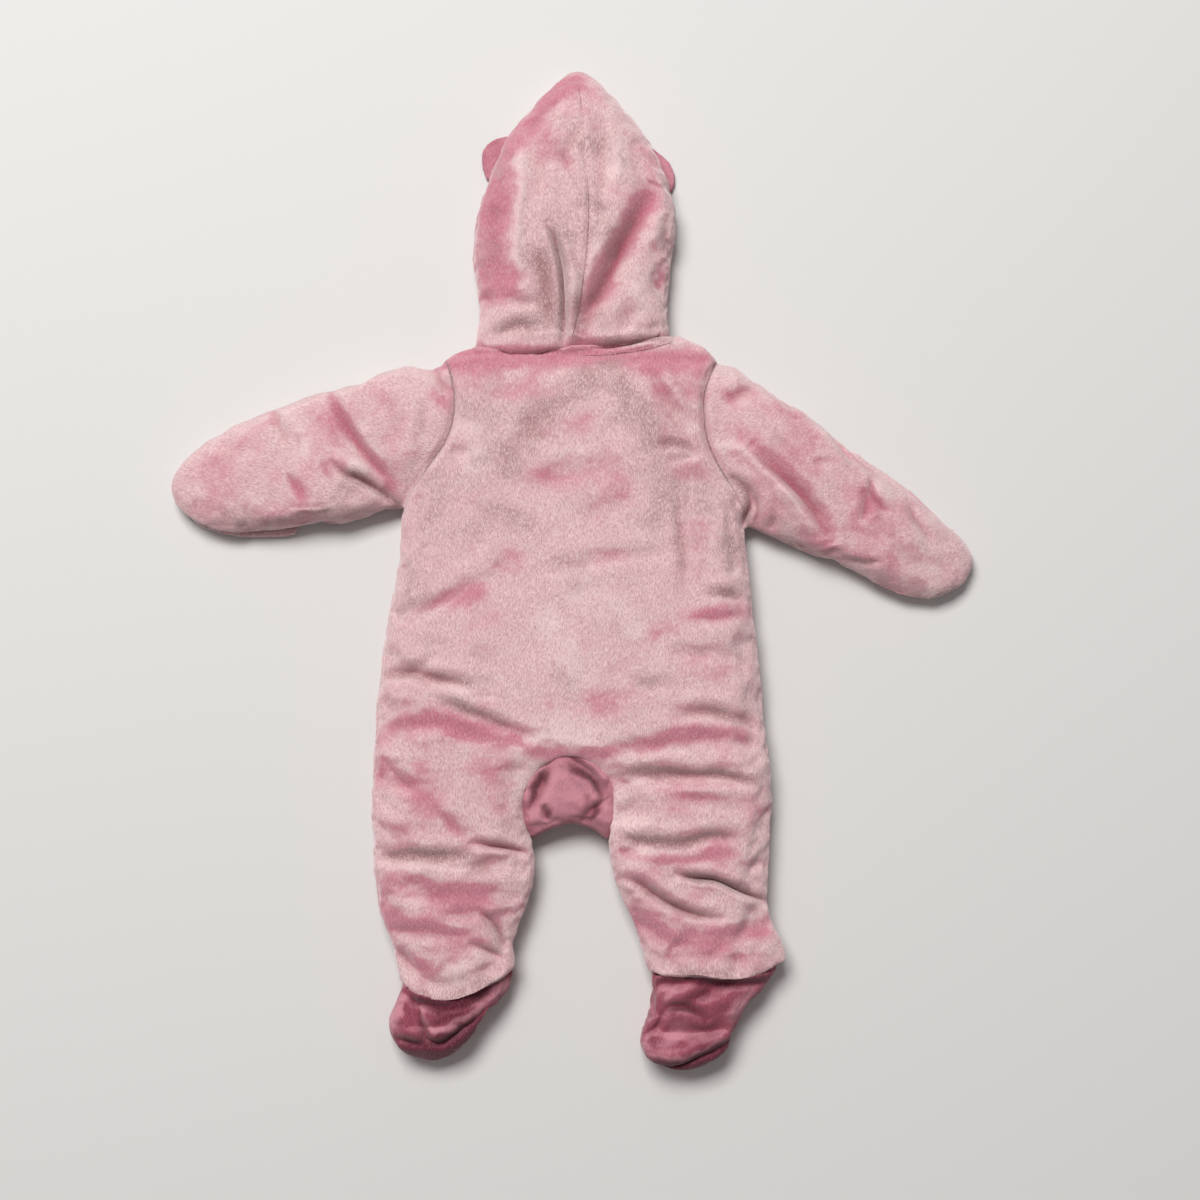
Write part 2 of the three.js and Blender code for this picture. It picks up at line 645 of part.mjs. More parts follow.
// The band runs along the back's top edge, a seam's gap above it.
function neckBand() {
  const edge = backSkins().outer[0].filter((point) => neckAt(point.x, "band") > BAND_LEAST);
  const across = Array.from({ length: BAND_COLUMNS + 1 }, (_, j) => j / BAND_COLUMNS);
  const skin = (height) => grid(edge, across, (point, t, i) => {
    const atEnd = i === 0 || i === edge.length - 1;
    const y = point.y + SEAM_GAP + (neckAt(point.x, "band") - SEAM_GAP) * t;
    return new THREE.Vector3(point.x, y, height(atEnd ? BAND_END_HEIGHT : BAND_HEIGHT, 4 * t * (1 - t)));
  });
  return padded(
    skin((top, arch) => top - BAND_ROLL * (1 - arch)),
    skin(() => MID_HEIGHT + SEAM_GAP / 2),
  );
}

// ---- Feet

const FOOT_ROWS = 9;
const FOOT_ROUND = 3;
const SOLE_LIP = 0.45;       // share of the sole's height at its toe end
const SOLE_ROLL_ROWS = 3;    // rows over which it rounds down to that
const SOLE_GAP = 0.6;        // between the sole's end and the upper that rises past it
const UPPER_LIFT = 0.45;     // share of the upper's height that its side curls off the floor

function footRows(side) {
  const rows = spread(side === "left" ? LEFT_FOOT : RIGHT_FOOT, FOOT_ROWS);
  const lastSole = SOLE_ROWS * (FOOT_ROWS - 1) / (LEFT_FOOT.length - 1);
  return rows.map((row, i) => ({ ...row, inSole: i <= lastSole }));
}

function footPoint(row, t) {
  const x = lerp(row.outerX, row.innerX, t);
  return new THREE.Vector3(x, lerp(row.outerY, row.innerY, t) + row.bow * 4 * t * (1 - t), 0);
}

function footSole(side) {
  const rows = footRows(side).filter((row) => row.inSole);
  const toEnd = (i) => lerp(SOLE_LIP, 1, roll(rows.length - 1 - i, SOLE_ROLL_ROWS));
  const full = (t, i) => Math.min(crown(1 - 2 * t, FOOT_ROUND), toEnd(i));
  const skin = (height) => grid(rows, columnPlaces(8), (row, t, i) => (
    footPoint(row, t).setZ(height(row, full(t, i)))));
  const base = MID_HEIGHT + SEAM_GAP / 2;
  return padded(
    skin((row, share) => base + RIM_WALL + (row.loft - base - RIM_WALL) * share),
    skin(() => base),
  );
}

// The upper lies under the sole, and rises to the foot's full height past the sole's end.
function footUpper(side) {
  const rows = footRows(side);
  const lastSole = rows.findLastIndex((row) => row.inSole);
  const pastSole = (row, gap) => ({ ...row, outerY: row.outerY - gap, innerY: row.innerY - gap });
  const all = [
    ...rows.slice(0, lastSole),
    pastSole(rows[lastSole], SOLE_GAP),
    pastSole(rows[lastSole], SOLE_GAP + SEAM_GAP / 2),
    ...rows.slice(lastSole + 1),
  ];
  const skin = (height) => grid(all, columnPlaces(8), (row, t, i) => (
    footPoint(row, t).setZ(height(row, crown(1 - 2 * t, FOOT_ROUND), i))));
  const under = MID_HEIGHT - SEAM_GAP / 2;
  return padded(
    skin((row, share, i) => (i <= lastSole ? under : under + (row.loft - under) * share)),
    skin((row, share) => UPPER_LIFT * under * (1 - share)),
  );
}

// ---- Zip

const ZIP_FROM = -163;
const ZIP_TO = 143;
const TAPE_THICK = 1.2;
const TAPE_HEIGHT = 5;
const COIL_HALF = 2.8;
const COIL_THICK = 2.4;
const COIL_TAPER = 0.7;      // width of the coil's lower face to its upper
const SLIDER = { long: 9, wide: 9, thick: 4.5, corner: 2, height: 1.2, y: ZIP_TO + SEAM_GAP };
const PULL = { long: 16, wide: 4.4, thick: 1.2, corner: 1.6, height: 0.3, hole: 1.1, overlap: 4 };
const PLATE_SEGMENTS = 4;    // on each rounded corner

function zip() {
  const half = ZIP_HALF - SEAM_GAP;
  const section = new THREE.Shape([
    [-half, 0],
    [-COIL_HALF, 0],
    [-COIL_HALF * COIL_TAPER, -COIL_THICK],
    [COIL_HALF * COIL_TAPER, -COIL_THICK],
    [COIL_HALF, 0],
    [half, 0],
    [half, TAPE_THICK],
    [-half, TAPE_THICK],
  ].map(([x, y]) => new THREE.Vector2(x, y)));
  const length = ZIP_TO - ZIP_FROM;
  const geometry = new THREE.ExtrudeGeometry(section, { depth: length, bevelEnabled: false });
  return geometry.rotateX(Math.PI / 2).translate(0, ZIP_TO, TAPE_HEIGHT);
}

// A flat plate with rounded corners, and a hole near its end where hole is given.
function roundedPlate({ wide, long, corner, thick, hole = 0 }) {
  const shape = new THREE.Shape();
  const [x, y] = [wide / 2, long / 2];
  shape.moveTo(-x + corner, -y).lineTo(x - corner, -y);
  shape.absarc(x - corner, -y + corner, corner, -Math.PI / 2, 0, false);
  shape.absarc(x - corner, y - corner, corner, 0, Math.PI / 2, false);
  shape.absarc(-x + corner, y - corner, corner, Math.PI / 2, Math.PI, false);
  shape.absarc(-x + corner, -y + corner, corner, Math.PI, 1.5 * Math.PI, false);
  if (hole > 0) {
    shape.holes.push(new THREE.Path().absarc(0, y - 2 * hole - 1, hole, 0, 2 * Math.PI, true));
  }
  return new THREE.ExtrudeGeometry(shape, {
    depth: thick,
    bevelEnabled: false,
    curveSegments: PLATE_SEGMENTS,
  });
}

function solid(geometry) {
  geometry.deleteAttribute("normal");
  geometry.deleteAttribute("uv");
  const merged = mergeVertices(geometry, 1e-4);
  return new wasm.Manifold(new wasm.Mesh({
    numProp: 3,
    vertProperties: new Float32Array(merged.attributes.position.array),
    triVerts: new Uint32Array(merged.index.array),
  }));
}

function zipSlider() {
  const body = roundedPlate(SLIDER).translate(0, SLIDER.y + SLIDER.long / 2, SLIDER.height);
  const pull = roundedPlate(PULL)
    .translate(0, SLIDER.y + PULL.overlap - PULL.long / 2, PULL.height);
  const mesh = solid(body).add(solid(pull)).getMesh();
  const geometry = new THREE.BufferGeometry();
  geometry.setAttribute("position", new THREE.Float32BufferAttribute(mesh.vertProperties, 3));
  geometry.setIndex([...mesh.triVerts]);
  geometry.computeVertexNormals();
  return geometry;
}

// ---- Assembly

function clothMaterial(colour) {
  return new THREE.MeshStandardMaterial({ color: colour, roughness: 0.95, metalness: 0 });
}

function piece(name, geometry, material) {
  const mesh = new THREE.Mesh(geometry, material);
  mesh.name = name;
  return mesh;
}

const suit = new THREE.Group();
suit.add(piece("back", backPanel(), clothMaterial(CLOTH.rose)));
for (const side of ["left", "right"]) {
  suit.add(
    piece(`front_${side}`, frontPanel(side), clothMaterial(CLOTH.rose)),
    piece(`sleeve_${side}`, sleeve(side), clothMaterial(CLOTH.rose)),
    piece(`mitt_${side}`, mitt(side), clothMaterial(CLOTH.rose)),
    piece(`hood_${side}`, hoodHalf(side), clothMaterial(CLOTH.rose)),
    piece(`ear_${side}`, ear(side), clothMaterial(CLOTH.deepRose)),
    piece(`foot_sole_${side}`, footSole(side), clothMaterial(CLOTH.deepRose)),
    piece(`foot_upper_${side}`, footUpper(side), clothMaterial(CLOTH.deepRose)),
  );
}
const plastic = new THREE.MeshStandardMaterial({ color: ZIP_COLOUR, roughness: 0.5, metalness: 0 });
suit.add(
  piece("gusset", gusset(), clothMaterial(CLOTH.deepRose)),
  piece("neck_band", neckBand(), clothMaterial(CLOTH.rose)),
  piece("zip", zip(), plastic),
  piece("zip_slider", zipSlider(), plastic),
);

const box = new THREE.Box3().setFromObject(suit);
const middle = box.getCenter(new THREE.Vector3());
suit.position.set(-middle.x, -middle.y, -box.min.z);

export default suit;
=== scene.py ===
"""A baby's padded plush suit with hood, mitts and feet, laid flat on its front.

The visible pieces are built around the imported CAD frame, in metres. Tables are in millimetres.
"""

import functools
import itertools
import math

import bmesh
import bpy
import numpy as np
from bpy.props import FloatProperty, FloatVectorProperty, IntProperty, PointerProperty
from bpy.types import Operator, Panel, PropertyGroup
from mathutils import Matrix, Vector


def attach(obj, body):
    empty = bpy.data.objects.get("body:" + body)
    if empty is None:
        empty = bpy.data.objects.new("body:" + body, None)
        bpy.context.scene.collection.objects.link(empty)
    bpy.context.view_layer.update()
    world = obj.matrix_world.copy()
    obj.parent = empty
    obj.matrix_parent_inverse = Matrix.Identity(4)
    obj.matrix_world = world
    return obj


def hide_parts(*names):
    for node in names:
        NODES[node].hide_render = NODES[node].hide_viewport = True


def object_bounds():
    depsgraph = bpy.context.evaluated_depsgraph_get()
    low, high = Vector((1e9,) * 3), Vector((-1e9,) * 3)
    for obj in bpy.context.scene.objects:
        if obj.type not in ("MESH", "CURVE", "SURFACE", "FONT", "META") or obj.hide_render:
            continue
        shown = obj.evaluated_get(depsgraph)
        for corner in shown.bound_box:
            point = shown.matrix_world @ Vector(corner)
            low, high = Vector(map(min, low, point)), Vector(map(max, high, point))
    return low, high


bl_info = {
    "name": "Padded plush suit",
    "version": (1, 0, 0),
    "blender": (4, 5, 0),
    "location": "3D View > Sidebar > Plush suit",
    "description": "Builds the plush pieces of a baby's padded suit around its packed frame",
    "category": "Object",
}

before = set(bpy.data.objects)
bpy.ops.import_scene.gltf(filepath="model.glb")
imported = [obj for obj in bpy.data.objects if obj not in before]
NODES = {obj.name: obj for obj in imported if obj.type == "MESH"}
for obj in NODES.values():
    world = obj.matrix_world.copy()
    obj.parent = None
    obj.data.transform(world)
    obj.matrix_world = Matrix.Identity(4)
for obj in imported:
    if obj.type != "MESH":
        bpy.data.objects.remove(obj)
CAD_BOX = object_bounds()

MM = 0.001
BODY = "root"
SIDES = "left", "right"
SPLIT = 15.0                # height where the back half lies on the front half
SPLIT_GAP = 0.15            # half the gap left between the two halves
OPENING = (-2, -206), (35, 38)        # middle and half sizes of the opening between the legs
SLEEVE_TURNS = 1.13, -0.96  # turn of the pile along the left and the right sleeve, in radians
JOIN = 0.4                  # how far pieces that are sewn together grow into each other
WELD = 2e-5                 # points nearer to each other than this, in metres, become one
CURVE_STEPS = 6             # straight steps from one point of a curve to the next
RIDGE_SHARE = 0.75          # share of the table's ridge heights that is built
NARROW = 13                 # bands narrower than this fade towards their ends
FULL_SHADE_DEPTH = 7              # depth from which a crease's bottom gets the full painted shade
NO_SEAM = 9.0               # seam distance where no seam is near
HIDDEN_KEPT = 0.04          # share of the faces that stay where nothing shows them
EAR_GRID = 1.6 * MM
EAR_NAP_AND_SHADING = 0, 0, 0.5         # strengths of the brushed rose, the painted brown shade and the painted pale highlight on the ears

STREAK_TINT = 0.74, 0.60, 0.59, 1     # between the pile's streaks
CREASE_SHADE_TINT = 0.50, 0.27, 0.30, 1     # painted shade down in a crease
SEAM_TINT = 0.66, 0.26, 0.33, 1       # along a seam
SHEEN_TINT = 1.0, 0.85, 0.87, 1
DEEP_SHADE = 0.09, 0.010, 0.023       # painted shade on the feet, gusset and ears, in hollows and under hems
ZIP_TINT = 0.62, 0.3, 0.34

# The stage, in metres.
CENTRE = Vector([(low + high) / 2 for low, high in zip(*CAD_BOX)])
AIM = Vector((CENTRE.x + 0.0219, CENTRE.y - 0.0392, 0))     # what the camera looks at
LAMP_PLACE = Vector((-0.9, 1.8, 3.5))
LAMP_SIZE = 2.2, 1.6
DAYLIGHT = 1.0, 0.99, 0.985
FLOOR_HALF = 4              # half the floor's width


# ---------------------------------------------------------------- tables
# Each row ends with the points along a line, as x, y, x, y and so on, seen from above.

ARMHOLE_LEFT = (-104, 156, -97, 138, -94, 120, -95, 100, -101, 82, -113, 64, -126, 46)
ARMHOLE_RIGHT = (118, 156, 110, 138, 105, 120, 105, 100, 108, 82, 116, 64, 127, 46)

SLEEVE_FOLD_LEFT = (-194, 128, -183, 102, -170, 81, -151, 57, -144, 47)
SLEEVE_ROLL_RIGHT = (114, 81, 137, 73, 157, 55, 174, 34, 187, 16, 194, 0)

# Where the sleeves begin: the armholes, then on below the arms.
SLEEVE_EDGE_LEFT = (*ARMHOLE_LEFT, -138, 20, -142, 0, -400, -60)
SLEEVE_EDGE_RIGHT = (*ARMHOLE_RIGHT, 140, 20, 152, -40, 400, -60)

# The edge of the back under the hood, and the hems of both legs over the feet.
NECK_EDGE = (-80, 160, -56, 159, -24, 159.5, 0, 160.5, 20, 162, 42, 163.5, 60, 166, 80, 168)
HEMS = (-135, -333, -121, -343, -107, -348, -92, -349, -78, -346, -59, -341, -43, -335, 60, -331,
        97, -330, 125, -332, 145, -330, 163, -322)

# Creases: how deep, how wide, how high the ridge beside it stands and how far it leans over the
# trough, then the points. The ridge stands to the left of the way it runs. A depth below 0 is a
# roll that stands up.
CREASES = (
    # hood
    (12, 3.4, 6, 2.4, -20, 264, -13, 246, -8, 228, -6, 208, -6, 185, -7, 165),
    (4.5, 12, 0, 0, -18, 172, -20, 200, -24, 224, -31, 245),
    (9, 8, 4.5, 0.8, 5, 170, 12, 187, 21, 205, 31, 225, 42, 249, 53, 269, 66, 296),
    (2.5, 11, 0, 0, -61, 300, -63, 267, -63, 240, -56, 211),
    (-3, 4.5, 0, 0, -45, 337, -43, 312, -42, 285, -45, 258, -46, 231, -41, 205),
    (3, 5, 2, 0.5, -67, 176, -56, 174, -41, 178, -24, 174),
    (2, 5, 1.2, 0, -60, 202, -52, 200, -39, 196, -26, 200),
    (2, 4.5, 0.8, 0.3, -76, 206, -71, 204, -63, 198),
    (4, 4, 2, 0.8, 76, 270, 74, 254, 76, 236),
    (2, 6, 1.2, 0, 60, 196, 66, 210, 70, 224),
    (1.6, 6, 1, 0, 36, 172, 46, 186, 58, 194),
    (2.6, 7, 1.8, 0, -10, 372, -25, 358, -38, 340),
    (2.6, 4, 1.2, 0, 2, 352, 2, 338, -6, 322, -2, 308),
    (-2.4, 5, 0, 0, 36, 345, 37, 325, 36, 300, 33, 280),
    (2.2, 6, 1.2, 0, 23, 350, 23, 320, 21, 290, 23, 270),
    (1.5, 8, 1, 0, 46, 330, 52, 305, 50, 285),
    (1.3, 6, 0.8, 0, -28, 330, -30, 300, -26, 275),
    (1.2, 2.2, 0.9, 0, -1, 163, 6, 194, 9, 216, 12, 245, 13, 276, 12, 301, 8, 328, 8, 351, 6, 369,
     3, 390),
    # armholes
    (3.4, 2.8, 1.6, 0.6, *ARMHOLE_LEFT, -134, 34),
    (3.4, 2.8, 1.6, 0.6, *ARMHOLE_RIGHT),
    # neck
    (5, 3, 2.5, 2.5, 10, 160, 36, 163, 58, 167, 80, 168),
    (2, 2.2, 1.5, 1.8, -80, 161, -56, 157.5, -30, 157, 6, 159),
    (1, 1.6, 0.4, 0, 10, 154, 36, 155, 58, 159, 72, 163),
    # hems, rolled, with small gathers above
    (-4.4, 4, 0, 4.2, -133, -334, -121, -343, -107, -348, -92, -349, -78, -345, -59, -336, -43,
     -327),
    (-4.4, 4, 0, 4.2, 60, -331, 78, -331, 97, -330, 108, -331.5, 125, -332, 145, -330, 163, -322),
    (3.5, 3.5, 0, 0, -128, -343, -118, -351, -106, -355, -92, -356, -76, -352, -57, -342, -44,
     -334),
    (3.5, 3.5, 0, 0, 58, -338, 78, -338, 97, -337, 125, -339, 145, -337, 160, -331),
    (1.2, 3, 0, 0, -126, -330, -108, -337, -90, -337, -70, -329, -54, -320),
    (1.2, 3, 0, 0, 66, -319, 84, -318, 104, -317, 130, -320, 152, -315),
    (2.2, 4, 1, 0.3, -131, -310, -124, -319, -117, -330),
    (1.6, 3, 0.8, 0, -70, -314, -59, -318, -50, -322),
    (1.5, 3, 0.8, 0, 70, -321, 78, -312, 88, -304),
    (1.2, 3.5, 0.6, 0, 104, -322, 110, -314, 116, -308),
    (1.2, 3.5, 0.6, 0, 136, -320, 140, -312, 150, -306),
    (1, 3.5, 0.6, 0, -100, -338, -96, -328, -90, -320),
    # left sleeve
    (4.5, 4.5, 3, 0.6, *SLEEVE_FOLD_LEFT),
    (6.5, 4, 4, 1.5, -192, 66, -185, 61, -177, 56, -169, 54, -154, 46, -143, 38, -136, 33),
    (3, 4.5, 2, 0.3, -240, 115, -234, 97, -226, 78),
    (2.2, 4.5, 1, 0, -225, 57, -217, 44, -210, 37),
    (1.6, 4.5, 1, 0, -200, 68, -192, 55, -186, 46),
    (4, 4, 2, 0.8, -112, 146, -106, 131, -97, 120),
    (1.5, 5, 0.8, 0, -116, 118, -119, 97, -116, 84),
    (2.2, 2.5, 1.5, 0.5, -288, 19, -262, 17, -224, 20, -184, 22, -164, 29, -150, 35),
    (1.5, 9, 1, 0, -290, 60, -270, 76, -246, 80),
    (1.2, 8, 0.8, 0, -150, 120, -140, 100, -136, 80),
    # right sleeve
    (-5, 6, 0, 0, *SLEEVE_ROLL_RIGHT),
    (7.5, 6.5, 3, 0.8, 204, 0, 197, 17, 182, 38, 162, 57, 139, 78),
    (8.5, 3.4, 3.5, 1.8, 133, 14, 137, 24, 141, 34, 138, 44, 126, 55),
    (5, 3, 2, 0.8, 145, 15, 146, 25, 146, 34, 143, 42),
    (3, 3, 1.2, 0.3, 156, 13, 159, 21, 158, 31),
    (2.6, 5.5, 1.6, 0.5, 119, 114, 132, 120, 148, 128),
    (7, 3.4, 3.5, 2.4, 222, 64, 206, 89, 191, 107),
    (5, 3.4, 2.5, 1.2, 236, 54, 238, 37, 248, 24),
    (4, 4.5, 2, 0.6, 286, 0, 273, 18, 264, 37),
    (3.4, 4, 2, 0.4, 228, 18, 232, 31, 228, 47),
    (1.2, 3, 0.6, 0, 188, 63, 196, 65, 206, 64),
    (2.6, 5, 1.6, 0.2, 220, -24, 250, -34, 284, -40),
    (2.4, 7, 1.4, 0, 250, 6, 266, -10, 284, -20),
    # back, upper
    (2, 6, 1.4, 0, 62, 146, 68, 126, 78, 112, 98, 94),
    (1.6, 5, 1, 0, 76, 148, 84, 130, 98, 112),
    (1.6, 6, 1, 0, 62, 80, 80, 77, 98, 80),
    (1.2, 6, 0.8, 0, -102, 72, -92, 73, -84, 70),
    (1.4, 9, 1, 0, -58, 58, -40, 84, -20, 108, 10, 126),
    (2.4, 4, 1.6, 0.3, 91, -34, 88, -9, 84, 20, 82, 43),
    (2.4, 3.5, 1.2, 0.2, 66, 76, 80, 80, 96, 73),
    (2, 3.5, 1, 0, 70, 67, 88, 68, 102, 75),
    (2.2, 5, 1.4, 0.2, 68, 138, 75, 116, 80, 98, 90, 82),
    (1.8, 3.5, 0.8, 0, -96, 75, -89, 73, -81, 75),
    (1.4, 8, 1, 0, 4, 18, 26, 28, 51, 35),
    (1.2, 8, 0.8, 0, -34, 44, -8, 58, 24, 62, 50, 57),
    # back, middle
    (1.6, 6, 1, 0, -130, -62, -104, -48, -78, -32, -50, -22),
    (2.5, 5, 1.5, 0.2, -140, -53, -130, -51, -120, -53),
    (1.6, 6, 1.2, 0, -28, -22, 0, -16, 24, -12, 50, -9, 78, -6),
    (5, 4.5, 2.8, 1, -150, -103, -136, -102, -120, -101, -104, -106, -76, -112),
    (2.5, 4, 1, 0.3, -124, -101, -114, -110, -106, -116),
    (2.2, 5, 1.2, 0.2, -136, -92, -118, -96, -104, -86),
    (3.8, 5, 2.4, 0.5, -110, -121, -86, -130, -62, -139, -44, -147, -26, -154),
    (2, 5, 1.2, 0, -148, -128, -132, -129, -116, -127),
    (2.4, 5, 1.6, 0.3, 102, -38, 112, -39, 123, -41, 134, -46),
    (1.2, 4, 0.8, 0, 90, -61, 110, -61, 142, -55),
    (2, 6, 1.4, 0, 76, -82, 94, -86, 112, -84, 132, -90),
    (1.5, 7, 1, 0, 84, 4, 86, -22, 90, -50),
    (4.2, 5, 2.8, 0.6, 76, -137, 98, -132, 116, -134, 134, -139, 150, -147),
    (1.5, 7, 1, 0, 46, -104, 60, -110, 76, -112),
    (1.2, 7, 0.8, 0, -82, -84, -70, -90, -62, -98),
    # back, over the crotch
    (2, 8, 1.6, 0, -148, -152, -128, -143, -100, -140, -72, -150, -44, -158),
    (1.8, 7, 1.4, 0, 16, -168, 44, -163, 78, -156, 110, -155, 142, -156),
    # right leg
    (4.2, 5, 2.4, 0.5, 28, -181, 58, -179, 90, -181, 120, -182, 148, -191),
    (1.5, 6, 1.2, 0, 70, -205, 96, -202, 124, -204, 146, -200),
    (4.2, 5, 2.6, 0.6, 34, -226, 56, -232, 84, -233, 108, -228, 134, -231),
    (2, 4, 1.2, 0.2, 126, -249, 136, -250, 150, -246),
    (9, 3.2, 4.5, 3, 78, -256, 94, -258, 110, -259, 122, -264, 134, -270, 152, -277),
    (6.5, 4, 3.5, 1.6, 36, -258, 50, -262, 64, -271, 78, -279, 96, -287, 116, -291),
    (1.8, 4, 1.2, 0.2, 40, -266, 48, -280, 54, -298),
    (1.6, 6, 1, 0, 70, -326, 82, -314, 94, -300),
    (1.5, 6, 1, 0, 100, -306, 124, -304, 150, -298),
    # left leg
    (1.6, 6, 1.2, 0, -146, -190, -128, -187, -108, -190),
    (2, 5, 1.2, 0, -106, -205, -94, -218, -80, -231),
    (6.5, 3.4, 3.2, 1.8, -76, -232, -62, -234, -48, -236, -32, -241),
    (4, 5, 2.6, 0.5, -150, -243, -126, -241, -104, -243, -76, -241),
    (2, 5, 1.2, 0, -82, -258, -72, -254, -60, -249),
    (2, 7, 1.5, 0, -152, -268, -128, -264, -104, -272, -78, -272, -54, -270),
    (1.8, 6, 1.2, 0, -100, -285, -84, -287, -68, -284),
    (5.5, 3.4, 2.8, 1.6, -72, -283, -62, -290, -55, -300, -50, -314),
    (4.5, 3.4, 2.2, 1, -78, -308, -64, -313, -52, -319),
    (1.8, 5, 1.2, 0, -146, -296, -124, -300, -98, -302, -78, -304),
    (3, 4, 1.5, 0.3, -120, -336, -124, -324, -134, -310),
    # gusset
    (0, 4, 1.2, 2.8, -38, -214, -36, -195, -26, -178, -8, -167, 8, -167, 24, -178, 33, -195, 35,
     -216),
    (7, 3.2, 3.5, 1.6, 25, -201, 20, -192, 14, -183, 3, -174, -6, -168),
    (6, 3, 2, 1, 25, -201, 18, -206, 12, -211, 7, -215),
    (5, 4.5, 3, 0.8, -14, -171, -20, -183, -25, -196, -30, -209),
    (5, 3.5, 1.5, 0.5, -21, -203, -20, -209, -19, -216),
    (2.5, 3, 1, 0.3, 12, -196, 12.5, -202, 13, -209),
    (3, 4, 0, 0, 16, -208, 15, -214, 12, -220),
    (-1.5, 4, 0, 0, -19, -190, -23, -202, -24, -212),
    (-1.5, 4, 0, 0, 20, -182, 29, -193, 32, -204, 31, -219),
    # left foot
    (6.5, 3.6, 4, 3, -124, -342, -117, -354, -112, -367, -107, -378, -98, -381, -88, -374, -76,
     -366, -64, -357, -54, -348),
    (3, 4.5, 2, 0.6, -98, -362, -86, -363, -70, -355, -58, -345),
    (4.5, 3.5, 2, 1.2, -137, -378, -122, -381, -108, -383),
    (2, 4, 1.2, 0, -128, -352, -122, -362, -118, -372),
    # right foot
    (5, 3.4, 2.5, 1.2, 104, -366, 97, -360, 88, -356, 77, -355, 68, -360),
    (4.5, 5, 2.2, 0.6, 84, -353, 94, -349, 104, -344, 120, -338),
    (4, 2.6, 1.6, 0.8, 54, -378, 62, -372, 67, -366, 69, -358),
    (3, 3, 1.5, 0.6, 58, -348, 66, -340, 76, -335),
    (5.5, 3.4, 3.5, 2.4, 50, -388, 58, -396, 70, -399, 84, -397, 98, -391, 112, -385, 128, -374),
    (2, 5, 1.2, 0, 92, -372, 104, -374, 118, -368),
)

# Seams, which show as a fine dark line: how wide, then the points.
SEAMS = (
    (1, *ARMHOLE_LEFT),
    (1, *ARMHOLE_RIGHT),
    (0.8, -1, 163, 6, 194, 9, 216, 12, 245, 13, 276, 12, 296),
    (0.5, 7, 360, 6, 369, 3, 390),
    (0.8, 2, 153, 20, 154, 40, 156, 60, 159, 80, 165),
)
